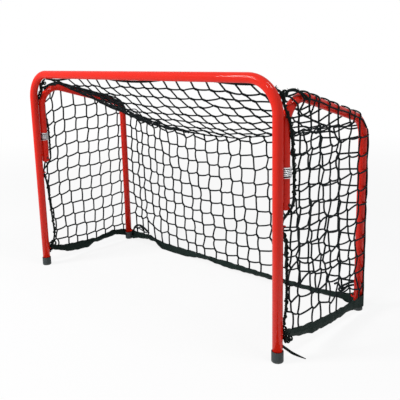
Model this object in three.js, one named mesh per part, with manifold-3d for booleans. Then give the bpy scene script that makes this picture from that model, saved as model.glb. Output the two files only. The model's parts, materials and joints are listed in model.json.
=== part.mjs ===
// Floorball goal: a bent steel tube mouth with two side frames that fold in behind it,
// and a cord net over them. Millimetres; X runs to the right seen from the front,
// Y runs into the goal and Z is up. The origin is on the floor under the middle.
import * as THREE from "three";
import { mergeVertices } from "three/addons/utils/BufferGeometryUtils.js";
import Module from "manifold-3d";

const wasm = await Module();
wasm.setup();

// Clearances
const seatGap = 0.3; // between two pieces that touch
const overrun = 2; // how far a cutter runs past what it cuts

// Front frame
const goalWidth = 900; // over both posts
const goalHeight = 600; // floor to the top of the crossbar
const frameDepth = 336; // post axis to rear leg axis
const mouthTubeRadius = 11;
const mouthBendRadius = 72; // on the centre line
const tubeWall = 1.5;
const tubeSides = 16;
const bendSteps = 7;

// Side frames
const sideTubeRadius = 10;
const sideBendRadius = 55;
const railFrontHeight = 564; // rail centre line above the fold axis
const railRearHeight = 474; // and above the rear leg's axis
const stubEndHeight = 323; // lowest point of the closed lower end
const stubDomeLength = 6;

// Pivot sleeves
const sleeveBottom = 334;
const sleeveLength = 57;
const sleeveWall = 2;
const sleeveClearance = 0.5;
const sleeveSides = 24;
const weldRootGap = 1; // between post and sleeve, bridged by the weld
const weldWidth = 12;
const weldMargin = 4; // the weld stops this far from the sleeve's ends
const notchDepth = 5;
const lugMargin = 1; // sideways room between pin and lug

// Lock pin, through the tube at the sleeve's lower rim
const pinRadius = 3;
const pinReach = 0.4; // past the sleeve's outer face
const pinBoreClearance = 0.3;
const pinSides = 12;
const pinChamfer = 0.6;

// Spring with its washer and stop ring
const washerThickness = 1.2;
const springWireRadius = 1.1;
const springTurns = 4.5;
const springHeight = 17.5;
const springStepsPerTurn = 12;
const springWireSides = 6;
const springEndShare = 0.2; // how much closer the end turns lie
const ringHeight = 2.6;
const ringWall = 2.2;
const ringBoreClearance = 0.35;

// End caps of the legs
const capWall = 1.6;
const capFloor = 4;
const capLength = 24;
const capRim = 2.5; // rounding of the lower edge
const capBoreClearance = 0.4;
const capSides = 20;

// Net hooks, bent from round wire
const hookWireRadius = 1.5;
const hookSides = 6;
const hookSlack = 0.8; // round the rope
const hookUpperDrop = 31; // below the closed end of the side tube
const hookLowerHeight = 50;
const hookCrossbarPlace = 190; // sideways from the middle
const hookLip = 5;
const legHookHeight = 30; // on the rear legs
const legHookReach = 7;
const legHookBend = 3;

// Border rope
const ropeRadius = 2.6;
const ropeSides = 8;
const ropeStep = 16; // length of one straight bit
const ropeCornerDrop = 15; // the side ropes' upper ends below the crossbar's centre line
const ropeEndInset = 51; // the top rope's ends inside the posts' axes
const ropeCalm = 70; // the top rope keeps its place this far outside its hooks
const tailRadius = 2; // loose end of the tie
const tailStep = 5;

// Net: square mesh of flat strands
const strandWidth = 2.6;
const strandThickness = 2.6;
const meshPitch = 64;
const netSag = 92; // drop of the top net's rear edge at the middle
const netCornerInset = 40; // the top net is this much narrower where it meets the crossbar
const netFrontDrop = 12; // top net's front edge below the crossbar's centre line
const netFrontLift = 12; // top net above the rail's centre line, behind the front bend
const netRearLift = 19; // and at the rear
const sideNetFrontLow = 21; // behind the post's axis, below the sleeve
const sideNetFrontHigh = 48; // and beside the sleeve and above
const sideNetTopLift = 6; // side net's top edge above the rail's centre line

// Webbing hem along the net's lower edge
const hemHeight = 30;
const hemThickness = 2.2;
const hemFrontBottom = { left: 24, right: 46 };
const hemRearBottom = 16;
const hemDip = 9; // how far the side hem hangs between its ends
const hemBackDip = 15; // and the back hem between the rear feet
const hemSteps = 8;

// Places that follow from the sizes
const postX = goalWidth / 2 - mouthTubeRadius;
const crossbarZ = goalHeight - mouthTubeRadius;
const sleeveBore = sideTubeRadius + sleeveClearance;
const sleeveRadius = sleeveBore + sleeveWall;
const foldY = mouthTubeRadius + weldRootGap + sleeveRadius;
const legY = frameDepth - foldY; // rear leg, measured from the fold axis
const sleeveTop = sleeveBottom + sleeveLength;
const pinHeight = sleeveBottom + notchDepth - seatGap - pinRadius;
const pinHalfLength = sleeveRadius + pinReach;
const hookUpperHeight = stubEndHeight - hookUpperDrop;
const washerTop = sleeveTop + seatGap + washerThickness;
const springBottom = washerTop + seatGap;
const springTop = springBottom + springHeight;
const frontCapRadius = mouthTubeRadius + capBoreClearance + capWall;
const rearCapRadius = sideTubeRadius + capBoreClearance + capWall;
const ringBore = sideTubeRadius + ringBoreClearance;
const springCoilRadius = (ringBore + springWireRadius) / Math.cos(Math.PI / springStepsPerTurn);
const springRadius = springCoilRadius + springWireRadius;
const panelOffset = Math.max(sleeveRadius, rearCapRadius, springRadius) + seatGap;
const panelX = postX + panelOffset; // inner face of the side net
const panelY = frameDepth + panelOffset; // inner face of the back net
const outerThickness = Math.max(strandThickness, hemThickness);
const ropeY = mouthTubeRadius + seatGap + ropeRadius; // rope behind a post
const topNetFrontY = ropeY + ropeRadius + hookSlack + 2 * hookWireRadius + seatGap;
const railSlope = (railFrontHeight - railRearHeight) / legY;
const railStartY = foldY + sideBendRadius * (1 + railSlope); // where the front bend ends, nearly
const middleY = (panelY + outerThickness - frontCapRadius) / 2;

// Centre line height of a side frame's rail at a distance behind the posts.
const railHeight = (y) => railFrontHeight - railSlope * (y - foldY);

// Materials
const paint = new THREE.MeshStandardMaterial({ color: 0xd5200f, roughness: 0.25 });
const zinc = new THREE.MeshStandardMaterial({ color: 0xb9bcc0, roughness: 0.35, metalness: 0.9 });
const blackSteel = new THREE.MeshStandardMaterial({ color: 0x22201f, roughness: 0.5, metalness: 0.6 });
const capPlastic = new THREE.MeshStandardMaterial({ color: 0x1d1d1f, roughness: 0.6 });
const netCord = new THREE.MeshStandardMaterial({ color: 0x141413, roughness: 0.9 });
const webbing = new THREE.MeshStandardMaterial({ color: 0x1a211c, roughness: 0.95 });

// Turns a surface's faces outward if they point inward.
function facingOut(geometry) {
  const p = geometry.getAttribute("position");
  const index = geometry.getIndex().array;
  const [a, b, c] = [new THREE.Vector3(), new THREE.Vector3(), new THREE.Vector3()];
  let volume = 0;
  for (let i = 0; i < index.length; i += 3) {
    a.fromBufferAttribute(p, index[i]);
    b.fromBufferAttribute(p, index[i + 1]);
    c.fromBufferAttribute(p, index[i + 2]);
    volume += a.dot(b.cross(c));
  }
  if (volume < 0) {
    for (let i = 0; i < index.length; i += 3) [index[i], index[i + 1]] = [index[i + 1], index[i]];
  }
  geometry.computeVertexNormals();
  return geometry;
}

// A closed skin over a row of rings with equal counts of points. A looped row joins its
// last ring to its first; otherwise both ends are closed with a fan.
function loft(rings, looped = false) {
  const count = rings[0].length;
  const points = rings.flat();
  const index = [];
  const joints = looped ? rings.length : rings.length - 1;
  for (let r = 0; r < joints; r++) {
    const here = r * count;
    const next = ((r + 1) % rings.length) * count;
    for (let i = 0; i < count; i++) {
      const j = (i + 1) % count;
      index.push(here + i, here + j, next + j, here + i, next + j, next + i);
    }
  }
  if (!looped) {
    for (const [ring, turned] of [[0, true], [rings.length - 1, false]]) {
      const middle = rings[ring].reduce((sum, p) => sum.add(p), new THREE.Vector3());
      points.push(middle.divideScalar(count));
      for (let i = 0; i < count; i++) {
        const a = ring * count + i;
        const b = ring * count + ((i + 1) % count);
        index.push(points.length - 1, ...(turned ? [b, a] : [a, b]));
      }
    }
  }
  const geometry = new THREE.BufferGeometry().setFromPoints(points);
  geometry.setIndex(index);
  return facingOut(geometry);
}

// The centre line of a bent tube through corner points in one plane: straights and arcs,
// as stations with a place and a direction.
function bentLine(corners, bendRadius) {
  const stations = [];
  corners.forEach((corner, i) => {
    const before = corners[i - 1];
    const after = corners[i + 1];
    if (!before || !after) {
      const along = (after ?? corner).clone().sub(before ?? corner).normalize();
      stations.push({ at: corner.clone(), along });
      return;
    }
    const into = corner.clone().sub(before).normalize();
    const out = after.clone().sub(corner).normalize();
    const turn = into.angleTo(out);
    const axis = into.clone().cross(out).normalize();
    const start = corner.clone().addScaledVector(into, -bendRadius * Math.tan(turn / 2));
    const centre = start.clone().addScaledVector(axis.clone().cross(into), bendRadius);
    for (let k = 0; k <= bendSteps; k++) {
      const angle = (turn * k) / bendSteps;
      const at = start.clone().sub(centre).applyAxisAngle(axis, angle).add(centre);
      stations.push({ at, along: into.clone().applyAxisAngle(axis, angle) });
    }
  });
  return stations;
}

// The ring of a tube at a station; the plane of the centre line has the given normal.
function ringAt({ at, along }, radius, normal, sides) {
  const across = normal.clone().cross(along).normalize();
  return Array.from({ length: sides }, (_, i) => {
    const angle = (2 * Math.PI * i) / sides;
    const point = at.clone().addScaledVector(across, radius * Math.cos(angle));
    return point.addScaledVector(normal, radius * Math.sin(angle));
  });
}

// A round solid about Z from [radius, height] points that start and end on the axis or close.
function turned(profile, sides) {
  const points = profile.map(([r, z]) => new THREE.Vector2(r, z));
  return new THREE.LatheGeometry(points, sides).rotateX(Math.PI / 2);
}

// A closed geometry as a solid for cutting and joining.
function solid(geometry) {
  const bare = geometry.clone();
  bare.deleteAttribute("normal");
  bare.deleteAttribute("uv");
  const merged = mergeVertices(bare, 1e-4);
  const vertProperties = new Float32Array(merged.getAttribute("position").array);
  const triVerts = new Uint32Array(merged.getIndex().array);
  return new wasm.Manifold(new wasm.Mesh({ numProp: 3, vertProperties, triVerts }));
}

// A solid back as a geometry.
function surface(manifold) {
  const mesh = manifold.getMesh();
  const geometry = new THREE.BufferGeometry();
  geometry.setAttribute("position", new THREE.BufferAttribute(mesh.vertProperties, 3));
  geometry.setIndex(new THREE.BufferAttribute(mesh.triVerts, 1));
  geometry.computeVertexNormals();
  return geometry;
}

// A cylinder along X through the given height.
function crossBore(radius, halfLength, height, sides) {
  const bore = new THREE.CylinderGeometry(radius, radius, 2 * halfLength, sides);
  return bore.rotateZ(Math.PI / 2).translate(0, 0, height);
}

// The mouth: one tube from the left post's foot over the crossbar to the right post's foot.
function mouthTube() {
  const foot = capFloor + seatGap;
  const corners = [
    new THREE.Vector3(-postX, 0, foot),
    new THREE.Vector3(-postX, 0, crossbarZ),
    new THREE.Vector3(postX, 0, crossbarZ),
    new THREE.Vector3(postX, 0, foot),
  ];
  const line = bentLine(corners, mouthBendRadius);
  const normal = new THREE.Vector3(0, 1, 0);
  const outer = line.map((s) => ringAt(s, mouthTubeRadius, normal, tubeSides));
  const inner = line.map((s) => ringAt(s, mouthTubeRadius - tubeWall, normal, tubeSides));
  return loft([...outer, ...inner.reverse()], true);
}

// A side frame's tube about its fold axis: closed lower end, stub, rail and rear leg.
// A rounded lower end closes it, and the lock pin's hole runs through the stub.
function sideTube() {
  const domeBase = stubEndHeight + stubDomeLength;
  const corners = [
    new THREE.Vector3(0, 0, domeBase),
    new THREE.Vector3(0, 0, railFrontHeight),
    new THREE.Vector3(0, legY, railRearHeight),
    new THREE.Vector3(0, legY, capFloor + seatGap),
  ];
  const line = bentLine(corners, sideBendRadius);
  const normal = new THREE.Vector3(1, 0, 0);
  const dome = (radius, length) =>
    [75, 50, 25].map((degrees) => {
      const angle = THREE.MathUtils.degToRad(degrees);
      const at = new THREE.Vector3(0, 0, domeBase - length * Math.sin(angle));
      const along = new THREE.Vector3(0, 0, 1);
      return ringAt({ at, along }, radius * Math.cos(angle), normal, tubeSides);
    });
  const skin = (radius, length) => [
    ...dome(radius, length),
    ...line.map((s) => ringAt(s, radius, normal, tubeSides)),
  ];
  const inner = skin(sideTubeRadius - tubeWall, stubDomeLength - tubeWall).reverse();
  const tube = solid(loft([...skin(sideTubeRadius, stubDomeLength), ...inner]));
  const bore = crossBore(pinRadius + pinBoreClearance, sleeveRadius, pinHeight, pinSides);
  return surface(tube.subtract(solid(bore)));
}

// An end cap: a cup with a rounded lower edge that is pushed over a tube's end.
function endCap(tubeRadius) {
  const bore = tubeRadius + capBoreClearance;
  const outer = bore + capWall;
  const rim = Math.SQRT1_2 * capRim;
  return turned(
    [
      [0, 0],
      [outer - capRim, 0],
      [outer - capRim + rim, capRim - rim],
      [outer, capRim],
      [outer, capLength - capWall / 2],
      [outer - capWall / 2, capLength],
      [bore, capLength],
      [bore, capFloor],
      [0, capFloor],
    ],
    capSides,
  );
}

// The pivot sleeve about the fold axis, with the weld that joins it to the post in front.
// Its lower rim is cut back over the two quarters that the lock pin turns through.
function sleeve(side) {
  const barrel = solid(
    turned(
      [
        [sleeveBore, sleeveBottom],
        [sleeveRadius, sleeveBottom],
        [sleeveRadius, sleeveTop],
        [sleeveBore, sleeveTop],
        [sleeveBore, sleeveBottom],
      ],
      sleeveSides,
    ),
  );
  const weldHeight = sleeveLength - notchDepth - 2 * weldMargin;
  const weld = new THREE.BoxGeometry(weldWidth, foldY - sleeveBore - sleeveWall / 2, weldHeight);
  const weldMiddle = (foldY + sleeveBore + sleeveWall / 2) / 2;
  weld.translate(0, -weldMiddle, sleeveTop - weldMargin - weldHeight / 2);
  const post = new THREE.CylinderGeometry(
    mouthTubeRadius + seatGap,
    mouthTubeRadius + seatGap,
    goalHeight,
    tubeSides,
  );
  post.rotateX(Math.PI / 2).translate(0, -foldY, sleeveBottom);
  const room = pinRadius + lugMargin;
  const sweep = new THREE.Shape();
  const reach = sleeveRadius + overrun;
  sweep.moveTo(reach, room);
  sweep.lineTo(room, room);
  sweep.lineTo(room, reach);
  sweep.lineTo(-reach, reach);
  sweep.lineTo(-reach, -room);
  sweep.lineTo(-room, -room);
  sweep.lineTo(-room, -reach);
  sweep.lineTo(reach, -reach);
  sweep.closePath();
  const depth = notchDepth + overrun;
  const notch = new THREE.ExtrudeGeometry(sweep, { depth, bevelEnabled: false });
  notch.rotateY(side > 0 ? Math.PI : 0);
  notch.translate(0, 0, sleeveBottom + (side > 0 ? notchDepth : -overrun));
  return surface(barrel.subtract(solid(notch)).add(solid(weld).subtract(solid(post))));
}

// The lock pin, along X at rest, with chamfered ends.
function lockPin() {
  const end = pinRadius - pinChamfer;
  const pin = turned(
    [
      [0, -pinHalfLength],
      [end, -pinHalfLength],
      [pinRadius, pinChamfer - pinHalfLength],
      [pinRadius, pinHalfLength - pinChamfer],
      [end, pinHalfLength],
      [0, pinHalfLength],
    ],
    pinSides,
  );
  return pin.rotateY(Math.PI / 2).translate(0, 0, pinHeight);
}

// A flat washer or ring about the fold axis.
function collar(bottom, height, bore, outer) {
  return turned(
    [
      [bore, bottom],
      [outer, bottom],
      [outer, bottom + height],
      [bore, bottom + height],
      [bore, bottom],
    ],
    sleeveSides,
  );
}

// The centre line of the spring's wire, with its end turns closer together.
function springPoint(turn) {
  const share = turn / springTurns;
  const eased = share - (springEndShare * Math.sin(2 * Math.PI * share)) / (2 * Math.PI);
  const angle = 2 * Math.PI * turn;
  const bottom = springBottom + springWireRadius;
  const height = bottom + (springHeight - 2 * springWireRadius) * eased;
  const [x, y] = [springCoilRadius * Math.cos(angle), springCoilRadius * Math.sin(angle)];
  return new THREE.Vector3(x, y, height);
}

// The coil spring: one unbroken wire.
function spring() {
  const steps = springTurns * springStepsPerTurn;
  const rings = [];
  for (let i = 0; i <= steps; i++) {
    const turn = i / springStepsPerTurn;
    const at = springPoint(turn);
    const along = springPoint(turn + 1e-3).sub(springPoint(turn - 1e-3)).normalize();
    const outward = new THREE.Vector3(at.x, at.y, 0).normalize();
    rings.push(ringAt({ at, along }, springWireRadius, outward, springWireSides));
  }
  return loft(rings);
}

// The least gap between the spring's neighbouring turns.
function springLeastGap() {
  let least = Infinity;
  for (let turn = 0; turn <= springTurns - 1; turn += 1 / springStepsPerTurn) {
    least = Math.min(least, springPoint(turn).distanceTo(springPoint(turn + 1)));
  }
  return least - 2 * springWireRadius;
}

// A net hook about the bar that carries it: wire that leaves the bar, passes round the rope
// behind it and ends in a lip. As made it suits a bar along X.
function netHook() {
  const reach = ropeRadius + hookSlack + hookWireRadius;
  const root = Math.sqrt(mouthTubeRadius ** 2 - (reach - hookWireRadius) ** 2) + seatGap;
  const corners = [
    new THREE.Vector3(0, root, -reach),
    new THREE.Vector3(0, ropeY + reach, -reach),
    new THREE.Vector3(0, ropeY + reach, hookLip),
  ];
  const line = bentLine(corners, reach);
  const normal = new THREE.Vector3(1, 0, 0);
  return loft(line.map((s) => ringAt(s, hookWireRadius, normal, hookSides)));
}

// A plain hook on the inner side of a rear leg, for the drawcord of the hem.
function legHook(side) {
  const root = sideTubeRadius + seatGap;
  const tip = root + legHookReach;
  const corners = [
    new THREE.Vector3(-side * root, 0, 0),
    new THREE.Vector3(-side * tip, 0, 0),
    new THREE.Vector3(-side * tip, 0, hookLip),
  ];
  const normal = new THREE.Vector3(0, 1, 0);
  return loft(bentLine(corners, legHookBend).map((s) => ringAt(s, hookWireRadius, normal, hookSides)));
}

// A cord along hand-picked points.
function cord(points, radius, step) {
  const route = new THREE.CatmullRomCurve3(points.map((p) => new THREE.Vector3(...p)));
  const section = new THREE.Shape();
  for (let i = 0; i < ropeSides; i++) {
    const angle = (2 * Math.PI * i) / ropeSides;
    const [x, y] = [radius * Math.cos(angle), radius * Math.sin(angle)];
    if (i) section.lineTo(x, y);
    else section.moveTo(x, y);
  }
  section.closePath();
  const steps = Math.round(route.getLength() / step);
  return new THREE.ExtrudeGeometry(section, { steps, extrudePath: route, bevelEnabled: false });
}

// A net panel: strands round a grid of open meshes on a surface. inner gives the inner
// face's point at shares u and v of the panel, and offset leads to the outer face.
function netPanel(length, height, inner, offset) {
  const gridShares = (extent) => {
    const gaps = Math.max(1, Math.round(extent / meshPitch));
    const strandShare = strandWidth / extent;
    const pitchShare = (1 - strandShare) / gaps;
    return Array.from({ length: gaps + 1 }, (_, i) => [
      i * pitchShare,
      i * pitchShare + strandShare,
    ]).flat();
  };
  const us = gridShares(length);
  const vs = gridShares(height);
  const points = us.flatMap((u) =>
    vs.flatMap((v) => {
      const near = inner(u, v);
      return [near, near.clone().add(offset)];
    }),
  );
  const vertex = (i, j, far) => 2 * (i * vs.length + j) + far;
  const filled = (i, j) => {
    const inside = i >= 0 && j >= 0 && i < us.length - 1 && j < vs.length - 1;
    return inside && (i % 2 === 0 || j % 2 === 0);
  };
  const index = [];
  const quad = (a, b, c, d) => index.push(a, b, c, a, c, d);
  for (let i = 0; i < us.length - 1; i++) {
    for (let j = 0; j < vs.length - 1; j++) {
      if (!filled(i, j)) continue;
      const corners = [[i, j], [i + 1, j], [i + 1, j + 1], [i, j + 1]];
      const [a, b, c, d] = corners.map(([p, q]) => vertex(p, q, 0));
      const [e, f, g, h] = corners.map(([p, q]) => vertex(p, q, 1));
      quad(a, d, c, b);
      quad(e, f, g, h);
      if (!filled(i, j - 1)) quad(a, b, f, e);
      if (!filled(i + 1, j)) quad(b, c, g, f);
      if (!filled(i, j + 1)) quad(c, d, h, g);
      if (!filled(i - 1, j)) quad(d, a, e, h);
    }
  }
  const geometry = new THREE.BufferGeometry().setFromPoints(points);
  geometry.setIndex(index);
  return facingOut(geometry);
}

// A webbing band whose lower edge runs through inner-face points given by a share.
function band(lowerEdge, offset) {
  const rings = [];
  for (let k = 0; k <= hemSteps; k++) {
    const low = lowerEdge(k / hemSteps);
    const high = low.clone().add(new THREE.Vector3(0, 0, hemHeight));
    rings.push([low, low.clone().add(offset), high.clone().add(offset), high]);
  }
  return loft(rings);
}

// Lower edge of the side hem at a share of its length, front to rear.
function sideHemBottom(share, side) {
  const front = side < 0 ? hemFrontBottom.left : hemFrontBottom.right;
  const straight = THREE.MathUtils.lerp(front, hemRearBottom, share);
  return straight - 4 * hemDip * share * (1 - share);
}

// Lower edge of the back hem at a distance from the middle.
function backHemBottom(x) {
  return hemRearBottom - hemBackDip * (1 - (x / panelX) ** 2);
}

// How far forward the side net reaches at a height: it passes behind the sleeve.
function sideNetFront(z) {
  const share = THREE.MathUtils.smoothstep(z, hookUpperHeight, sleeveBottom);
  return THREE.MathUtils.lerp(sideNetFrontLow, sideNetFrontHigh, share);
}

// The side net, outside the side frame, about the fold axis.
function sideNet(side) {
  const rearY = panelY + outerThickness;
  const inner = (u, v) => {
    const straightY = THREE.MathUtils.lerp(sideNetFrontLow, rearY, u);
    const low = sideHemBottom(u, side) + hemHeight + seatGap;
    const high = railHeight(straightY) + sideNetTopLift;
    const z = THREE.MathUtils.lerp(low, high, v);
    const y = THREE.MathUtils.lerp(sideNetFront(z), rearY, u);
    return new THREE.Vector3(side * panelOffset, y - foldY, z);
  };
  const offset = new THREE.Vector3(side * strandThickness, 0, 0);
  return netPanel(rearY - sideNetFrontLow, railRearHeight - hemHeight, inner, offset);
}

// The side hem, below the side net.
function sideHem(side) {
  const edge = (share) => {
    const y = THREE.MathUtils.lerp(sideNetFrontLow, panelY + outerThickness, share);
    return new THREE.Vector3(side * panelOffset, y - foldY, sideHemBottom(share, side));
  };
  return band(edge, new THREE.Vector3(side * hemThickness, 0, 0));
}

// Underside of the top net at a place across the goal and a share of its depth.
// It hangs from the crossbar and over both rails, and sags between them towards the rear.
function topNetHeight(x, depthShare) {
  const y = THREE.MathUtils.lerp(topNetFrontY, panelY, depthShare);
  const lift = THREE.MathUtils.lerp(netFrontLift, netRearLift, depthShare);
  const halfWidth = panelX - seatGap;
  const atCrossbar = 1 - THREE.MathUtils.smoothstep(y, topNetFrontY, railStartY);
  const edge = crossbarZ - netFrontDrop - railHeight(topNetFrontY) - netFrontLift;
  const sag = netSag * depthShare * (1 - (x / halfWidth) ** 2);
  return railHeight(y) + lift + edge * atCrossbar - sag;
}

// The top net, from behind the crossbar to the rear edge.
function topNet() {
  const halfWidth = panelX - seatGap;
  const rearY = panelY - seatGap;
  const inner = (u, v) => {
    const y = THREE.MathUtils.lerp(topNetFrontY, rearY, v);
    const inset = netCornerInset * (1 - THREE.MathUtils.smoothstep(y, topNetFrontY, railStartY));
    const x = THREE.MathUtils.lerp(inset - halfWidth, halfWidth - inset, u);
    return new THREE.Vector3(x, y, topNetHeight(x, v) - strandThickness / 2);
  };
  const offset = new THREE.Vector3(0, 0, strandThickness);
  return netPanel(2 * halfWidth, rearY - topNetFrontY, inner, offset);
}

// The back net, from the top net's rear edge down to the hem.
function backNet() {
  const halfWidth = panelX - seatGap;
  const inner = (u, v) => {
    const x = THREE.MathUtils.lerp(-halfWidth, halfWidth, u);
    const low = backHemBottom(x) + hemHeight + seatGap;
    const high = topNetHeight(x, 1) + strandThickness / 2;
    return new THREE.Vector3(x, panelY, THREE.MathUtils.lerp(low, high, v));
  };
  const offset = new THREE.Vector3(0, strandThickness, 0);
  return netPanel(2 * halfWidth, railRearHeight - hemHeight, inner, offset);
}

// The back hem, behind both rear feet.
function backHem() {
  const halfWidth = panelX - seatGap;
  const edge = (share) => {
    const x = THREE.MathUtils.lerp(-halfWidth, halfWidth, share);
    return new THREE.Vector3(x, panelY, backHemBottom(x));
  };
  return band(edge, new THREE.Vector3(0, hemThickness, 0));
}

// Routes of the cords, picked by hand in the frame with its origin between the posts.
const topRopeRoute = [
  [-388, 14.5, 576], [-330, 14.2, 573], [-260, 13.9, 580], [-190, 13.9, 589],
  [-120, 13.9, 582], [-60, 14, 576], [0, 14.2, 574], [60, 14, 576],
  [120, 13.9, 582], [190, 13.9, 589], [260, 13.9, 580], [330, 14.2, 575],
  [388, 14.5, 576],
];
const leftRopeRoute = [
  [-396, 14.5, 574], [-410, 15, 566], [-420, 17, 553], [-429, 19, 542],
  [-438, 19, 533], [-446, 19, 520], [-451.5, 22, 505], [-452.3, 28, 490],
  [-451, 34, 475], [-448.5, 38, 455], [-446, 40.5, 425], [-445.5, 41, 400],
  [-445, 41, 340], [-444, 38, 327], [-441, 27, 312], [-439, 15.4, 302],
  [-439, 14.2, 292], [-439, 14.8, 284], [-440, 20, 268], [-440.5, 24.5, 245],
  [-441, 27.5, 200], [-441, 28.5, 150], [-440.5, 28, 100], [-439.7, 21, 76],
  [-439, 14.6, 60], [-439, 14.2, 50], [-439, 14.2, 36],
];
const rightRopeRoute = [
  [396, 14.5, 574], [418, 17, 567], [435, 17, 559], [441, 16.5, 539],
  [448, 17, 521], [452.2, 22.5, 502], [452.5, 27, 478], [450, 35, 446],
  [448.5, 41, 415], [448, 42, 400], [448, 42, 345], [446, 39, 328],
  [441, 26, 312], [439, 15.4, 302], [439, 14.2, 292], [439, 14.8, 284],
  [440, 22, 270], [441, 27.5, 250], [441, 28.5, 200], [441, 29, 150],
  [440.5, 27, 108], [439.7, 20, 76], [439, 14.6, 60], [439, 14.2, 50],
  [439, 14.2, 36],
];
const tailRoute = [
  [439, 14.2, 35.5], [439.1, 14.5, 31.5], [441, 19, 26], [445, 26, 19],
  [452, 35, 9.5], [464, 42.5, 3.6], [480, 44, 2.6],
];

// A side rope's route on posts and a crossbar of these sizes. Its last point lies behind the
// post's axis, and above the spring it follows the crossbar.
function sideRoute(route) {
  const [topZ, endX] = [route[0][2], route.at(-1)[0]];
  const outward = Math.sign(endX) * (postX - Math.abs(endX));
  const lift = crossbarZ - ropeCornerDrop - topZ;
  return route.map(([x, y, z]) => {
    const share = THREE.MathUtils.clamp((z - springTop) / (topZ - springTop), 0, 1);
    return [x + outward, y, z + lift * share];
  });
}

// The top rope's route: level with the crossbar at its hooks, and reaching both corners.
function topRoute(route) {
  const lift = crossbarZ - Math.max(...route.map((p) => p[2]));
  const endX = Math.abs(route[0][0]);
  const still = hookCrossbarPlace + ropeCalm;
  return route.map(([x, y, z]) => {
    const share = THREE.MathUtils.clamp((Math.abs(x) - still) / (endX - still), 0, 1);
    return [x + Math.sign(x) * share * (postX - ropeEndInset - endX), y, z + lift];
  });
}

// The loose end's route, which starts at the right post.
function tailAt(route) {
  return route.map(([x, y, z]) => [x + postX - route[0][0], y, z]);
}

const goal = new THREE.Group();
goal.name = "floorball_goal";
const fromPosts = new THREE.Group(); // its origin is on the floor between the posts
fromPosts.position.y = -middleY;
goal.add(fromPosts);

function place(parent, name, geometry, material, x = 0, y = 0, z = 0) {
  const mesh = new THREE.Mesh(geometry, material);
  mesh.name = name;
  mesh.position.set(x, y, z);
  parent.add(mesh);
  return mesh;
}

place(fromPosts, "goal_mouth_tube", mouthTube(), paint);
place(fromPosts, "border_rope_top", cord(topRoute(topRopeRoute), ropeRadius, ropeStep), netCord);
place(fromPosts, "border_rope_left", cord(sideRoute(leftRopeRoute), ropeRadius, ropeStep), netCord);
place(fromPosts, "border_rope_right", cord(sideRoute(rightRopeRoute), ropeRadius, ropeStep), netCord);
place(fromPosts, "tie_tail", cord(tailAt(tailRoute), tailRadius, tailStep), netCord);
place(fromPosts, "net_top", topNet(), netCord);
place(fromPosts, "net_back", backNet(), netCord);
place(fromPosts, "hem_back", backHem(), webbing);

for (const [side, word] of [[-1, "left"], [1, "right"]]) {
  const x = side * postX;
  place(fromPosts, `foot_cap_front_${word}`, endCap(mouthTubeRadius), capPlastic, x);
  const crossbarHook = [side * hookCrossbarPlace, 0, crossbarZ];
  place(fromPosts, `hook_crossbar_${word}`, netHook(), paint, ...crossbarHook);
  for (const [height, level] of [[hookUpperHeight, "upper"], [hookLowerHeight, "lower"]]) {
    const hook = place(fromPosts, `hook_post_${word}_${level}`, netHook(), paint, x, 0, height);
    hook.rotation.y = (side * Math.PI) / 2;
  }

  const pivot = new THREE.Group(); // its origin is on the floor under the fold axis
  pivot.position.set(x, foldY, 0);
  fromPosts.add(pivot);
  place(pivot, `sleeve_${word}`, sleeve(side), paint);
  place(pivot, `side_tube_${word}`, sideTube(), paint);
  place(pivot, `lock_pin_${word}`, lockPin(), blackSteel);
  const washer = collar(sleeveTop + seatGap, washerThickness, ringBore, sleeveRadius);
  place(pivot, `washer_${word}`, washer, zinc);
  place(pivot, `spring_${word}`, spring(), zinc);
  const ring = collar(springTop + seatGap, ringHeight, ringBore, ringBore + ringWall);
  place(pivot, `stop_ring_${word}`, ring, zinc);
  place(pivot, `foot_cap_rear_${word}`, endCap(sideTubeRadius), capPlastic, 0, legY);
  place(pivot, `hook_leg_${word}`, legHook(side), paint, 0, legY, legHookHeight);
  place(pivot, `net_side_${word}`, sideNet(side), netCord);
  place(pivot, `hem_side_${word}`, sideHem(side), webbing);
}

console.log(`Least gap between the spring's turns: ${springLeastGap().toFixed(2)} mm`);

export default goal;
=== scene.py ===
# %% [markdown]
# # A small folding floorball goal
# The real goal is a mouth of bent steel tube with two side frames that fold in behind it,
# and a black cord net over them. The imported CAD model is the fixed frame: it says where
# every piece is and which body it moves with. Each piece here is modelled finer than its
# CAD solid and then stands for it. Places are written in millimetres, with their origin on
# the floor between the posts, because that is how such a frame is measured in a workshop.

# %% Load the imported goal
import json
import math
import random

import bmesh
import bpy
import numpy as np
from mathutils import Matrix, Vector

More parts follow.
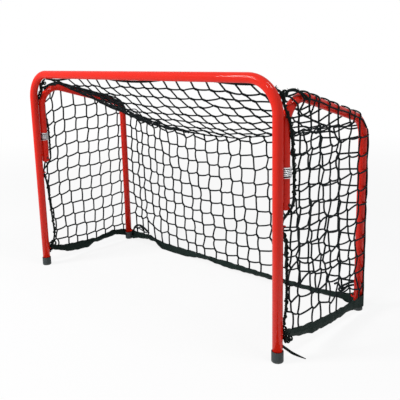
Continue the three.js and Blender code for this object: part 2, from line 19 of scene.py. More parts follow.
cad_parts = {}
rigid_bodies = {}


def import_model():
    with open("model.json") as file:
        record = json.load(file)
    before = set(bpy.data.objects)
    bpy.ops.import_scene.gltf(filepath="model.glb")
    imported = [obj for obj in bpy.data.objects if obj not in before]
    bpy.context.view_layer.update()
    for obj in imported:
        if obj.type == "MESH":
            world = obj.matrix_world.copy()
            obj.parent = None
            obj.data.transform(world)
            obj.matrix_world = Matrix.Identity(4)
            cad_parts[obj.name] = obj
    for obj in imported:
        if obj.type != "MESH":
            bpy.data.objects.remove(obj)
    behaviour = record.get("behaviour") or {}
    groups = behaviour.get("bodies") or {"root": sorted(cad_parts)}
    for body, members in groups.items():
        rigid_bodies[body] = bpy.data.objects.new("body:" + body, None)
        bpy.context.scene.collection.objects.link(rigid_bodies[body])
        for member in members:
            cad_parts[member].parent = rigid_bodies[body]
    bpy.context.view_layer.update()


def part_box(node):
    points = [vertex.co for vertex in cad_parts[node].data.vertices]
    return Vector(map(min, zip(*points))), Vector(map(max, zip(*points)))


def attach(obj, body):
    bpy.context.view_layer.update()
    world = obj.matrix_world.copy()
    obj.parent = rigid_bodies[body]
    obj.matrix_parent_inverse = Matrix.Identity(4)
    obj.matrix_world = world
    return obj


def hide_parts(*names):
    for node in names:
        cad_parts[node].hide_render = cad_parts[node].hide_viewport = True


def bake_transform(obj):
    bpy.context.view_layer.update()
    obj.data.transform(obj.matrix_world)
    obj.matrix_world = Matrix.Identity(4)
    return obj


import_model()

MM = 0.001
post_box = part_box("foot_cap_front_left")
MIDDLE_Y = -(post_box[0].y + post_box[1].y) / 2 / MM  # from the posts' line to the origin
SIDES = (("left", -1), ("right", 1))
print("The posts stand", round(MIDDLE_Y, 2), "mm in front of the middle")


# %% [markdown]
# The sizes that the pieces share. They are the real goal's: a 22 mm mouth tube, 20 mm side
# tubes, and pivots welded behind the posts. Each tube is a few straights and bends.

# %% Sizes
WIDTH, HEIGHT, DEPTH = 900, 600, 336
POST_R, SIDE_R, WALL = 11, 10, 1.5
POST_X = WIDTH / 2 - POST_R
BAR_Z = HEIGHT - POST_R
MOUTH_BEND, SIDE_BEND = 72, 55
FOLD_Y = 24.5
STUB_LOW, STUB_DOME = 323, 6
RAIL_FRONT, RAIL_REAR = 564, 474
TUBE_SIDES, BEND_STEPS = 56, 18
FOOT = 4.3  # the tubes stand on the floors of their caps
NET_R = 2.0
SAME = 1e-6  # metres: points that are closer count as one
SLOPE = math.atan2(RAIL_FRONT - RAIL_REAR, DEPTH - FOLD_Y)
print("The rails slope down by", round(math.degrees(SLOPE), 1), "degrees")


# %% [markdown]
# Blender's own tools do the modelling. An operator acts on everything that is selected, so
# each helper first clears the selection, and picks edges and faces by where they are.

# %% Helpers for modelling by hand
def place(x, y, z):
    """A point in millimetres from the floor between the posts, as Blender's metres."""
    return Vector((x, y - MIDDLE_Y, z)) * MM


def clear_selection():
    if bpy.context.mode != "OBJECT":
        bpy.ops.object.mode_set(mode="OBJECT")
    bpy.ops.object.select_all(action="DESELECT")


def choose(piece):
    clear_selection()
    piece.select_set(True)
    bpy.context.view_layer.objects.active = piece


def edit_all():
    bpy.ops.object.mode_set(mode="EDIT")
    bpy.ops.mesh.select_all(action="SELECT")


def set_in_place(name):
    """Names the new object, frees it of its placing and selects all of it in edit mode."""
    piece = bpy.context.object
    piece.name = piece.data.name = name
    bpy.ops.object.transform_apply(location=True, rotation=True, scale=True)
    edit_all()
    return piece


def start_ring(name, radius, at, turn=(0, 0, 0), sides=TUBE_SIDES):
    """The first ring of a tube."""
    clear_selection()
    bpy.ops.mesh.primitive_circle_add(
        vertices=sides, radius=radius * MM, location=at, rotation=turn
    )
    return set_in_place(name)


def start_cylinder(name, radius, depth, at, turn=(0, 0, 0), sides=TUBE_SIDES):
    clear_selection()
    bpy.ops.mesh.primitive_cylinder_add(
        vertices=sides, radius=radius * MM, depth=depth * MM, location=at, rotation=turn
    )
    return set_in_place(name)


def run_on(x, y, z):
    """Extrudes what is selected by so many millimetres."""
    bpy.ops.mesh.extrude_region_move(TRANSFORM_OT_translate={"value": (x * MM, y * MM, z * MM)})


def run_round(centre, axis, degrees, steps=BEND_STEPS):
    """Spins what is selected round a bend. Spin turns left-handed, hence the minus."""
    bpy.ops.mesh.spin(steps=steps, angle=-math.radians(degrees), center=centre, axis=axis)


def widen(factor, centre, axes):
    scale = [factor if a else 1 for a in axes]
    bpy.ops.transform.resize(value=scale, center_override=centre)


def pick(kind, test):
    """Selects verts or edges by a test of their places, or faces by a test of themselves."""
    mesh = bpy.context.object.data
    made = bmesh.from_edit_mesh(mesh)
    bpy.ops.mesh.select_all(action="DESELECT")
    bpy.ops.mesh.select_mode(type=kind)
    if kind == "VERT":
        found = [v for v in made.verts if test(v.co)]
    elif kind == "EDGE":
        found = [e for e in made.edges if all(test(v.co) for v in e.verts)]
    else:
        found = [f for f in made.faces if test(f)]
    for item in found:
        item.select_set(True)
    made.select_flush_mode()
    bmesh.update_edit_mesh(mesh)


def tidy_mesh(angle=40):
    """Merges doubles, turns the faces outward and shades smooth between sharp edges."""
    bpy.ops.mesh.select_all(action="SELECT")
    bpy.ops.mesh.remove_doubles(threshold=SAME)
    bpy.ops.mesh.normals_make_consistent(inside=False)
    bpy.ops.object.mode_set(mode="OBJECT")
    bpy.ops.object.shade_smooth_by_angle(angle=math.radians(angle))


def finish_with(piece, kind, **settings):
    """Adds a modifier, sets it and applies it."""
    choose(piece)
    bpy.ops.object.modifier_add(type=kind)
    modifier = piece.modifiers[-1]
    for key, value in settings.items():
        setattr(modifier, key, value)
    bpy.ops.object.modifier_apply(modifier=modifier.name)


def give_wall(piece, thickness):
    """Finishes a shell and thickens it inward."""
    tidy_mesh()
    finish_with(piece, "SOLIDIFY", thickness=thickness * MM, offset=-1)


def bevel_sharp(piece, width):
    angle = math.radians(40)
    finish_with(
        piece, "BEVEL", width=width * MM, segments=2, limit_method="ANGLE", angle_limit=angle
    )
    bpy.ops.object.shade_smooth_by_angle(angle=angle)


def copy_of(piece, name, shift=0, mirrored=False):
    """A copy with its own mesh, shifted along X or mirrored left to right."""
    choose(piece)
    bpy.ops.object.duplicate(linked=False)
    twin = bpy.context.object
    twin.name = twin.data.name = name
    if mirrored:
        bpy.ops.transform.mirror(constraint_axis=(True, False, False), center_override=(0, 0, 0))
    twin.location.x += shift * MM
    bpy.ops.object.transform_apply(location=True, rotation=True, scale=True)
    if mirrored:
        edit_all()
        bpy.ops.mesh.normals_make_consistent(inside=False)
        bpy.ops.object.mode_set(mode="OBJECT")
    return twin


def dress(piece, finish, body, node):
    """Gives a piece its material and its body, if one is named, and hides the CAD node it stands
    for.
    """
    piece.data.materials.clear()
    piece.data.materials.append(finish)
    if body:
        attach(piece, body)
    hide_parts(node)
    return piece


def dress_both(left, finish, body, node, mirrored=False):
    """Copies a left piece to the right and dresses both. A * in a name is for the side."""
    shift = 0 if mirrored else 2 * POST_X
    right = copy_of(left, left.name.replace("left", "right"), shift, mirrored)
    for (side, _), piece in zip(SIDES, (left, right)):
        dress(piece, finish, body.replace("*", side), node.replace("*", side))
    return left, right


# %% [markdown]
# ## The camera
# The picture is taken from the front right, a little above the crossbar. Yaw, pitch, roll
# and focal length were fitted to the goal's corners. The picture is a crop of a larger one,
# so the lens is shifted by as much as its middle lies off the larger one's middle.

# %% Camera
FRAME_PX, SENSOR_MM = 400, 36
FOCAL_PX = 591.21
EYE = (1110.62, -935.01, 651.45)
YAW, PITCH, ROLL = 0.796, 0.203, -0.033
SHIFT_PX = (23.35, -30.42)


def photo_camera():
    forward = Vector(
        (-math.sin(YAW) * math.cos(PITCH), math.cos(YAW) * math.cos(PITCH), -math.sin(PITCH))
    )
    level = forward.cross(Vector((0, 0, 1))).normalized()
    upright = level.cross(forward)
    right = level * math.cos(ROLL) + upright * math.sin(ROLL)
    up = upright * math.cos(ROLL) - level * math.sin(ROLL)
    clear_selection()
    bpy.ops.object.camera_add(location=place(*EYE))
    camera = bpy.context.object
    camera.name = "photo_camera"
    camera.rotation_euler = Matrix((right, up, -forward)).transposed().to_euler()
    camera.data.sensor_width = SENSOR_MM
    camera.data.lens = FOCAL_PX / FRAME_PX * SENSOR_MM
    camera.data.shift_x, camera.data.shift_y = (s / FRAME_PX for s in SHIFT_PX)
    camera.data.clip_start, camera.data.clip_end = 0.05, 50
    return camera


bpy.context.scene.camera = photo_camera()
print("The lens is", round(bpy.context.scene.camera.data.lens, 1), "mm")


# %% [markdown]
# ## Finishes
# Shader maths reads best as plain sums, so one small class wraps a socket and gives it
# Python's own signs. One method adds every other node. Colour, roughness and bump change
# over a surface, and what is the same all over is set on the shader itself.

# %% A socket that can be added and multiplied
class Wire:
    def __init__(self, bench, socket):
        self.bench, self.socket = bench, socket

    def math(self, operation, other):
        return self.bench.add("ShaderNodeMath", {"operation": operation}, self, other)

    def __add__(self, other):
        return self.math("ADD", other)

    def __mul__(self, other):
        return self.math("MULTIPLY", other)

    def __rsub__(self, other):
        return self.bench.add("ShaderNodeMath", {"operation": "SUBTRACT"}, other, self)

    def above(self, edge, soft):
        """0 below edge, 1 from edge + soft up."""
        settings = {"interpolation_type": "SMOOTHSTEP"}
        return self.bench.add("ShaderNodeMapRange", settings, self, edge, edge + soft)

    def within(self, low, high):
        """1 between two values, with ends half a millimetre soft."""
        return self.above(low, 0.5 * MM) * (1 - self.above(high, 0.5 * MM))

    def wave(self):
        """Up from 0 to 1 and down again in each unit."""
        return self.math("PINGPONG", 0.5) * 2

    def other(self, out):
        """Another output of the same node."""
        return Wire(self.bench, self.socket.node.outputs[out])


class Bench:
    """One material, or the world, being put together."""

    def __init__(self, name, world=False):
        self.made = (bpy.data.worlds if world else bpy.data.materials).new(name)
        self.made.use_nodes = True
        self.tree = self.made.node_tree
        self.tree.nodes.clear()

    def add(self, kind, settings, *values, out=0, **named):
        """Adds a node: its settings first, then the values or links of its sockets."""
        node = self.tree.nodes.new(kind)
        for key, value in settings.items():
            setattr(node, key, value)
        named = {key.replace("_", " "): value for key, value in named.items()}
        for key, value in [*enumerate(values), *named.items()]:
            if isinstance(value, Wire):
                self.tree.links.new(value.socket, node.inputs[key])
            elif value is not None:
                node.inputs[key].default_value = value
        return Wire(self, node.outputs[out]) if node.outputs else None

    def objects(self):
        return self.add("ShaderNodeTexCoord", {}, out="Object")

    def height(self, axis="Z"):
        """The object's own Z, which is metres above the floor at rest, or its Y."""
        return self.add("ShaderNodeSeparateXYZ", {}, self.objects(), out=axis)

    def lengthways(self):
        """(across, along) of the piece's own UV map, as two sockets."""
        uv = self.add("ShaderNodeUVMap", {"uv_map": "UVMap"})
        across = self.add("ShaderNodeSeparateXYZ", {}, uv)
        return across, across.other("Y")

    def noise(self, scale, detail, roughness=0.55, where=None):
        where = where or self.objects()
        named = {"Scale": scale, "Detail": detail, "Roughness": roughness}
        return self.add("ShaderNodeTexNoise", {}, where, **named)

    def mix(self, share, one, other):
        """A colour between two others. Inputs 1 to 5 of the node are for plain numbers."""
        skipped = [None] * 5
        return self.add("ShaderNodeMix", {"data_type": "RGBA"}, share, *skipped, one, other, out=2)

    def bump(self, height, distance, strength):
        return self.add("ShaderNodeBump", {}, Strength=strength, Distance=distance, Height=height)

    def coat(self, colour, roughness, normal, **fixed):
        """The shader itself and the output."""
        changing = {"Base Color": colour, "Roughness": roughness, "Normal": normal}
        shader = self.add("ShaderNodeBsdfPrincipled", {}, **changing, **fixed)
        self.add("ShaderNodeOutputMaterial", {}, shader)
        return self.made

    def seen(self):
        """1 for the rays of the camera and of reflections."""
        path = self.add("ShaderNodeLightPath", {})
        return path.math("MAXIMUM", path.other("Is Glossy Ray"))


# %% [markdown]
# The tubes are sprayed with a glossy red enamel. Close up it has the faint orange peel of
# sprayed paint, a slow change of depth, and small dull scuffs, more of them near the feet.
# Inside the springs the stubs are painted near black, a painted shade between the coils.

# %% Red enamel
# Where the stubs are painted dark inside the springs: a painted shade between the coils.
SPRING_SHADE_Y, SPRING_SHADE_Z = (13, 37), (392.5, 410)  # in millimetres: behind the posts, in the springs


def red_enamel():
    b = Bench("red_enamel")
    depth = b.noise(18, 2)
    peel = b.noise(900, 2)
    scratch = b.noise(240, 5, 0.7)
    near_floor = 1 - b.height().above(0.03, 0.3)
    scuffs = scratch.above(0.66, 0.08) * (near_floor * 0.6 + 0.25)
    paint = b.mix(depth, (0.79, 0.021, 0.009, 1), (0.7, 0.016, 0.006, 1))
    worn = b.mix(scuffs * 0.5, paint, (0.42, 0.02, 0.014, 1))
    # Inside the springs the stub is painted blue-black, a painted shade between the coils.
    behind_posts = b.height("Y").within(*((y - MIDDLE_Y) * MM for y in SPRING_SHADE_Y))
    in_springs = behind_posts * b.height().within(*(z * MM for z in SPRING_SHADE_Z))
    shaded_in_springs = b.mix(in_springs, worn, (0.02, 0.02, 0.03, 1))
    dull = depth * 0.08 + scuffs * 0.25 + 0.3
    relief = b.bump(peel * 0.6 + scratch * 0.4, 0.00012, 0.5)
    clear = {"Specular IOR Level": 0.02, "Coat Weight": 0.28, "Coat Roughness": 0.04}
    return b.coat(shaded_in_springs, dull, relief, **clear)


# %% [markdown]
# The springs, washers and stop rings are zinc plated: bright, a little cloudy, with fine
# drawn lines. The lock pins are darker, oiled spring steel.

# %% Plated and oiled steel
def plated_steel():
    b = Bench("plated_steel")
    cloud = b.noise(260, 3)
    stretched = b.add("ShaderNodeMapping", {}, b.objects(), Scale=(1, 1, 14))
    lines = b.noise(420, 4, where=stretched)
    plate = b.mix(cloud, (0.62, 0.63, 0.65, 1), (0.82, 0.83, 0.84, 1))
    stained = b.mix(cloud.above(0.64, 0.08) * 0.5, plate, (0.45, 0.44, 0.42, 1))
    return b.coat(stained, lines * 0.2 + 0.2, b.bump(lines, 0.00006, 0.5), Metallic=0.9)


def oiled_steel():
    b = Bench("oiled_steel")
    cloud = b.noise(500, 4)
    steel = b.mix(cloud, (0.035, 0.034, 0.036, 1), (0.1, 0.095, 0.09, 1))
    return b.coat(steel, cloud * 0.25 + 0.3, b.bump(cloud, 0.0001, 0.5), Metallic=0.8)


# %% [markdown]
# The feet are caps of soft dark grey plastic with a fine moulded grain. Their lower edge
# is rubbed paler by the floor.

# %% Cap plastic
def cap_plastic():
    b = Bench("cap_plastic")
    grain = b.noise(1500, 2)
    patch = b.noise(90, 3)
    rubbed = (1 - b.height().above(0.001, 0.006)) * patch.above(0.4, 0.2)
    grey = b.mix(patch, (0.028, 0.037, 0.038, 1), (0.05, 0.06, 0.06, 1))
    colour = b.mix(rubbed * 0.6, grey, (0.12, 0.12, 0.115, 1))
    return b.coat(colour, patch * 0.15 + 0.5, b.bump(grain, 0.0001, 0.6), Specular_IOR_Level=0.3)


# %% [markdown]
# Cord is twisted, so its relief runs round it in a helix, and so does its colour: lighter on
# the strands' crests and darker in the grooves between them, a painted shade. The strands'
# own UV map gives the place round the cord and the length along it in metres.

# %% Twisted cord and woven webbing
def twisted_cord(name, lay, dark, light):
    """lay is the length of one turn of the twist, in metres."""
    b = Bench(name)
    across, along = b.lengthways()
    ridge = (across * 3 + along * (3 / lay)).wave()  # three strands
    fibre = b.noise(2600, 3)
    tone = b.noise(55, 3)
    # Crests painted lighter and grooves darker: a painted shade. The tone noise is random.
    colour = b.mix(ridge * 0.55 + tone * 0.45, dark, light)
    relief = b.bump(ridge * 0.8 + fibre * 0.2, 0.00035, 0.8)
    return b.coat(colour, fibre * 0.2 + 0.7, relief, Specular_IOR_Level=0.12)


def woven_webbing():
    b = Bench("woven_webbing")
    across, along = b.lengthways()
    warp = across * 26
    weave = warp.wave() * (along * 700 + warp).wave()
    edge = 1 - across.wave().above(0.06, 0.1)
    tone = b.noise(40, 4)
    # Raised threads of the weave are painted lighter and its hollows darker, a painted shade.
    cloth = b.mix(weave * 0.5 + tone * 0.5, (0.006, 0.013, 0.011, 1), (0.022, 0.04, 0.034, 1))
    colour = b.mix(edge * 0.4, cloth, (0.008, 0.011, 0.01, 1))
    relief = b.bump(weave + edge * 0.6, 0.0004, 0.8)
    return b.coat(colour, tone * 0.15 + 0.75, relief, Specular_IOR_Level=0.15)


ENAMEL, ZINC, PIN_STEEL, PLASTIC = red_enamel(), plated_steel(), oiled_steel(), cap_plastic()
NET_CORD = twisted_cord("net_cord", 0.006, (0.003, 0.005, 0.006, 1), (0.012, 0.017, 0.019, 1))
ROPE_CORD = twisted_cord("rope_cord", 0.009, (0.003, 0.006, 0.005, 1), (0.013, 0.02, 0.018, 1))
WEBBING = woven_webbing()
FINISHES = (ENAMEL, ZINC, PIN_STEEL, PLASTIC, NET_CORD, ROPE_CORD, WEBBING)
print("Finishes:", [finish.name for finish in FINISHES])


# %% [markdown]
# ## The bent tubes
# A tube is drawn as it is made: a ring is pushed along the straight, then swung round each
# bend. Solidify gives it its wall, and the caps hide the cut ends.

# %% The goal mouth
def mouth_tube():
    piece = start_ring("mouth_tube", POST_R, place(-POST_X, 0, FOOT))
    turn_z = BAR_Z - MOUTH_BEND
    run_on(0, 0, turn_z - FOOT)
    run_round(place(MOUTH_BEND - POST_X, 0, turn_z), (0, 1, 0), 90)
    run_on(2 * (POST_X - MOUTH_BEND), 0, 0)
    run_round(place(POST_X - MOUTH_BEND, 0, turn_z), (0, 1, 0), 90)
    run_on(0, 0, FOOT - turn_z)
    give_wall(piece, WALL)
    return piece


dress(mouth_tube(), ENAMEL, "front_frame", "goal_mouth_tube")


# %% [markdown]
# Each side frame is one smaller tube: a stub that turns in the pivot sleeve, a bend, a
# rail that slopes down to the rear, a second bend and the rear leg. Its lower end is
# pinched shut in a low dome. It is drawn once, and mirrored for the other side.

# %% The side frames
FRONT_TURN, REAR_TURN = math.pi / 2 + SLOPE, math.pi / 2 - SLOPE
FRONT_TAN, REAR_TAN = (SIDE_BEND * math.tan(a / 2) for a in (FRONT_TURN, REAR_TURN))
RAIL_LENGTH = math.hypot(DEPTH - FOLD_Y, RAIL_FRONT - RAIL_REAR) - FRONT_TAN - REAR_TAN
STUB_TOP, LEG_TOP = RAIL_FRONT - FRONT_TAN, RAIL_REAR - REAR_TAN
DOME_STEPS, FRONT_STEPS = 5, 22


def side_frame():
    start = STUB_LOW + STUB_DOME
    piece = start_ring("side_frame_left", SIDE_R, place(-POST_X, FOLD_Y, start))
    wide, low = 1.0, 0.0
    for k in range(1, DOME_STEPS + 1):
        angle = k / (DOME_STEPS + 1) * math.pi / 2
        narrower, lower = math.cos(angle), math.sin(angle) * STUB_DOME
        run_on(0, 0, low - lower)
        widen(narrower / wide, place(-POST_X, FOLD_Y, start - lower), (1, 1, 0))
        wide, low = narrower, lower
    bpy.ops.mesh.edge_face_add()
    pick("EDGE", lambda co: abs(co.z - start * MM) < SAME)
    run_on(0, 0, STUB_TOP - start)
    bend = place(-POST_X, FOLD_Y + SIDE_BEND, STUB_TOP)
    run_round(bend, (-1, 0, 0), math.degrees(FRONT_TURN), FRONT_STEPS)
    run_on(0, RAIL_LENGTH * math.cos(SLOPE), -RAIL_LENGTH * math.sin(SLOPE))
    run_round(place(-POST_X, DEPTH - SIDE_BEND, LEG_TOP), (-1, 0, 0), math.degrees(REAR_TURN))
    run_on(0, 0, FOOT - LEG_TOP)
    give_wall(piece, WALL)
    return piece


dress_both(side_frame(), ENAMEL, "*_side", "side_tube_*")
print("The rail's straight is", round(RAIL_LENGTH, 1), "mm long")


# %% [markdown]
# ## Caps, sleeves, pins and springs
# A cap is a cylinder whose top face is inset and pushed down to make the socket for the
# tube, with a rounded lower edge and a softened rim.

# %% End caps
CAP_LENGTH, CAP_FLOOR, CAP_FIT, CAP_WALL = 24, 4, 0.4, 1.6
CAP_ROUND, RIM_ROUND = 2.2, 0.35
SOLE_EDGE, SOLE_HOLLOW = 3, 0.8


def end_cap(name, tube_radius, y):
    outer = tube_radius + CAP_FIT + CAP_WALL
    piece = start_cylinder(name, outer, CAP_LENGTH, place(-POST_X, y, CAP_LENGTH / 2))
    pick("FACE", lambda f: f.normal.z > 0.9)
    bpy.ops.mesh.inset(thickness=CAP_WALL * MM)
    run_on(0, 0, CAP_FLOOR - CAP_LENGTH)
    pick("EDGE", lambda co: co.z < SAME)
    bpy.ops.mesh.bevel(offset=CAP_ROUND * MM, segments=5)
    pick("EDGE", lambda co: co.z > (CAP_LENGTH - 0.01) * MM)
    bpy.ops.mesh.bevel(offset=RIM_ROUND * MM, segments=2)
    pick("FACE", lambda f: f.normal.z < -0.99)
    bpy.ops.mesh.inset(thickness=SOLE_EDGE * MM)
    run_on(0, 0, SOLE_HOLLOW)
    tidy_mesh(30)
    return piece


for label, radius, y, body in (
    ("front", POST_R, 0, "front_frame"),
    ("rear", SIDE_R, DEPTH, "*_side"),
):
    cap = end_cap(f"{label}_cap_left", radius, y)
    dress_both(cap, PLASTIC, body, f"foot_cap_{label}_*")
print("Caps are", CAP_LENGTH, "mm long")


# %% [markdown]
# The sleeve is a short pipe that is welded behind the post. Its lower rim is cut back, and
# two lugs are left standing: they stop the lock pin when the frame is swung out. The weld
# is a bead of small ripples on each side, one for each dab of the torch.

# %% Pivot sleeves
SLEEVE_LOW, SLEEVE_TOP, NOTCH = 334, 391, 5
SLEEVE_BORE, SLEEVE_WALL = 10.5, 2
SLEEVE_R = SLEEVE_BORE + SLEEVE_WALL
RIM_HEIGHT = 1
LUG_FROM, LUG_TO = 22, 68  # degrees round the fold axis
BEAD_R, BEAD_PITCH, BEAD_SIDE, BEAD_INSET = 1.7, 2.2, 4.6, 4
BEAD_START = 0.6  # widths are shares of its radius
RIPPLE = ((0.3, 1.0), (0.45, 0.98), (0.25, 0.8))  # share of the pitch, width at its end


def weld_bead(x):
    """One bead of ripples up the side of the joint between post and sleeve."""
    low, high = SLEEVE_LOW + NOTCH + BEAD_INSET, SLEEVE_TOP - BEAD_INSET
    y = (POST_R + FOLD_Y - SLEEVE_R) / 2
    piece = start_ring("weld_bead", BEAD_R * BEAD_START, place(x - POST_X, y, low), sides=12)
    bpy.ops.mesh.edge_face_add()
    pick("EDGE", lambda co: True)
    height, size = low, BEAD_START
    for _ in range(round((high - low) / BEAD_PITCH)):
        for share, wide in RIPPLE:
            run_on(0, 0, share * BEAD_PITCH)
            height += share * BEAD_PITCH
            widen(wide / size, place(x - POST_X, y, height), (1, 1, 0))
            size = wide
    bpy.ops.mesh.edge_face_add()
    tidy_mesh(70)
    return piece


def pivot_sleeve():
    rim = SLEEVE_LOW + NOTCH
    axis = place(-POST_X, FOLD_Y, rim)
    piece = start_ring("pivot_sleeve_left", SLEEVE_R, axis, sides=72)
    for step in (RIM_HEIGHT, SLEEVE_TOP - rim - 2 * RIM_HEIGHT, RIM_HEIGHT):
        run_on(0, 0, step)

    def on_lug(co):
        angle = math.degrees(math.atan2(co.y - axis.y, co.x - axis.x)) % 180
        return abs(co.z - axis.z) < SAME and LUG_FROM < angle < LUG_TO

    pick("EDGE", on_lug)
    run_on(0, 0, -NOTCH)
    give_wall(piece, SLEEVE_WALL)
    bevel_sharp(piece, 0.35)
    beads = [weld_bead(-BEAD_SIDE), weld_bead(BEAD_SIDE)]
    choose(piece)
    for bead in beads:
        bead.select_set(True)
    bpy.ops.object.join()
    return piece


dress_both(pivot_sleeve(), ENAMEL, "front_frame", "sleeve_*", mirrored=True)
print("A sleeve is", SLEEVE_TOP - SLEEVE_LOW, "mm long and", 2 * SLEEVE_R, "mm across")


# %% [markdown]
# The lock pin is a rolled spring pin, so it is a hollow cylinder with softened ends.

# %% Lock pins
PIN_R, PIN_HALF, PIN_Z = 3, 12.9, 335.7
PIN_WALL, PIN_HOLLOW = 1, 8


def lock_pin():
    centre = place(-POST_X, FOLD_Y, PIN_Z)
    sideways = (0, math.pi / 2, 0)
    piece = start_cylinder("cross_pin_left", PIN_R, 2 * PIN_HALF, centre, sideways, 32)
    for way in (1, -1):
        pick("FACE", lambda f: f.normal.x * way > 0.9)
        bpy.ops.mesh.inset(thickness=PIN_WALL * MM)
        run_on(-way * PIN_HOLLOW, 0, 0)
    tidy_mesh(30)
    bevel_sharp(piece, 0.3)
    return piece


dress_both(lock_pin(), PIN_STEEL, "*_side", "lock_pin_*")
print("The lock pins reach", round(PIN_HALF - SLEEVE_R, 1), "mm past the sleeves")


# %% [markdown]
# A washer and a stop ring are rings pushed up and given a wall. The spring between them is
# a small ring swept up a helix with the Screw modifier. Its end turns lie closer, so the
# heights of its points are eased near both ends. When the side frame is pressed down, the
# spring's foot stays on the washer and its top goes with the stop ring. Weights from its
# foot to its top are worked out for that, but they are not kept, and the spring is attached to no
# body.

# %% Washers, stop rings and springs
RING_BORE, STOP_WALL = 10.35, 2.2
WASHER_LOW, WASHER_HIGH = 391.3, 392.5
SPRING_LOW, SPRING_HIGH = 392.8, 410.3
RING_LOW, RING_HIGH = 410.6, 413.2
WIRE_R, TURNS, COIL_R = 1.1, 4.5, 11.85
TURN_STEPS, END_EASE = 40, 0.2


def flat_ring(name, low, high, outer):
    piece = start_ring(name, outer, place(-POST_X, FOLD_Y, low), sides=64)
    bpy.ops.mesh.select_mode(type="EDGE")
    bpy.ops.mesh.select_all(action="SELECT")
    run_on(0, 0, high - low)
    give_wall(piece, outer - RING_BORE)
    bevel_sharp(piece, 0.25)
    return piece


def coil_spring():
    low = SPRING_LOW + WIRE_R
    rise = SPRING_HIGH - SPRING_LOW - 2 * WIRE_R
    upright = (math.pi / 2, 0, 0)
    piece = start_ring("coil_spring_left", WIRE_R, Vector((COIL_R, 0, 0)) * MM, upright, 12)
    bpy.ops.object.mode_set(mode="OBJECT")
    steps = round(TURNS * TURN_STEPS)
    finish_with(
        piece, "SCREW", axis="Z", angle=TURNS * 2 * math.pi, screw_offset=rise * MM,
        steps=steps, render_steps=steps, use_smooth_shade=True,
    )
    for vertex in piece.data.vertices:
        share = min(1, max(0, vertex.co.z / (rise * MM)))
        eased = share - END_EASE * math.sin(2 * math.pi * share) / (2 * math.pi)
        vertex.co += place(-POST_X, FOLD_Y, low) + Vector((0, 0, (eased - share) * rise * MM))
    edit_all()
    bpy.ops.mesh.fill_holes(sides=0)
    tidy_mesh(50)
    return piece


def weigh(piece, rule):
    """Works out a piece's weights by a rule for its points, in millimetres; they are not kept."""
    at = np.empty(len(piece.data.vertices) * 3)
    piece.data.vertices.foreach_get("co", at)
    weights = rule(at.reshape(-1, 3) / MM + (0, MIDDLE_Y, 0))


def squeezed(at):
    """0 at a spring's foot, 1 at its top."""
    return np.clip((at[:, 2] - SPRING_LOW) / (SPRING_HIGH - SPRING_LOW), 0, 1)


washer = flat_ring("thrust_washer_left", WASHER_LOW, WASHER_HIGH, SLEEVE_R)
dress_both(washer, ZINC, "*_turn", "washer_*")
springs = dress_both(coil_spring(), ZINC, "", "spring_*")
stop_ring = flat_ring("spring_stop_left", RING_LOW, RING_HIGH, RING_BORE + STOP_WALL)
dress_both(stop_ring, ZINC, "*_side", "stop_ring_*")
foot, head = place(0, 0, SPRING_LOW), place(0, 0, SPRING_HIGH)
for (side, _), spring in zip(SIDES, springs):
    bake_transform(spring)
    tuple(foot)
    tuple(head)
    weigh(spring, squeezed)
print("The springs have", TURNS, "turns of", 2 * WIRE_R, "mm wire")


# %% [markdown]
# The net hooks are bent from 3 mm wire and welded on: out under the rope, round behind it
# and up to a lip. One is drawn behind the crossbar, and the post hooks are turned copies.
# Each rear leg has a plain hook on its inner side.

# %% Net hooks
HOOK_R, HOOK_REACH, HOOK_LIP, ROPE_Y = 1.5, 4.9, 5, 13.9
ROOT_SUNK = 0.4
LEG_HOOK_Z, LEG_HOOK_RUN, LEG_HOOK_BEND, LEG_HOOK_LIP = 30, 4.7, 3, 1.2
HOOK_PLACES = {"crossbar": 190, "upper": 292, "lower": 50}
UP = Vector((0, 0, 1))


def bent_hook(name, root, way, run, bend, lip, flare, tip_rings, steps):
    """A wire that starts wide at its root, runs out one way, bends up and ends in a tip."""
    wide, long = flare
    across = (1 - way.x, 1 - way.y, 1)
    piece = start_ring(name, HOOK_R, root, (way.y * math.pi / 2, way.x * math.pi / 2, 0), 20)
    bpy.ops.mesh.edge_face_add()
    pick("EDGE", lambda co: True)
    widen(wide, root, across)
    run_on(*way * long)
    widen(1 / wide, root + way * long * MM, across)
    run_on(*way * (run - long))
    centre = root + (way * run + UP * bend) * MM
    run_round(centre, way.cross(UP), 90, steps)
    run_on(0, 0, lip)
    tip = centre + (way * bend + UP * lip) * MM
    for rise, size in tip_rings:
        run_on(0, 0, rise)
        tip += UP * rise * MM
        widen(size, tip, (1, 1, 0))
    bpy.ops.mesh.edge_face_add()
    tidy_mesh(60)
    return piece


def wire_hook():
    """A hook about a bar along X whose centre is at the world's origin."""
    root = math.sqrt(POST_R**2 - (HOOK_REACH - HOOK_R) ** 2) - ROOT_SUNK
    return bent_hook(
        "wire_hook", Vector((0, root, -HOOK_REACH)) * MM, Vector((0, 1, 0)), ROPE_Y - root,
        HOOK_REACH, HOOK_LIP, (1.6, 0.7), ((0.5, 0.92), (0.5, 0.75), (0.35, 0.6)), 10,
    )


def leg_hook():
    """A plain hook on the inner side of the left rear leg, for the hem's drawcord."""
    root = place(SIDE_R - ROOT_SUNK - POST_X, DEPTH, LEG_HOOK_Z)
    return bent_hook(
        "leg_hook_left", root, Vector((1, 0, 0)), LEG_HOOK_RUN,
        LEG_HOOK_BEND, LEG_HOOK_LIP, (1.5, 0.8), ((0.5, 0.92), (0.3, 0.75)), 8,
    )


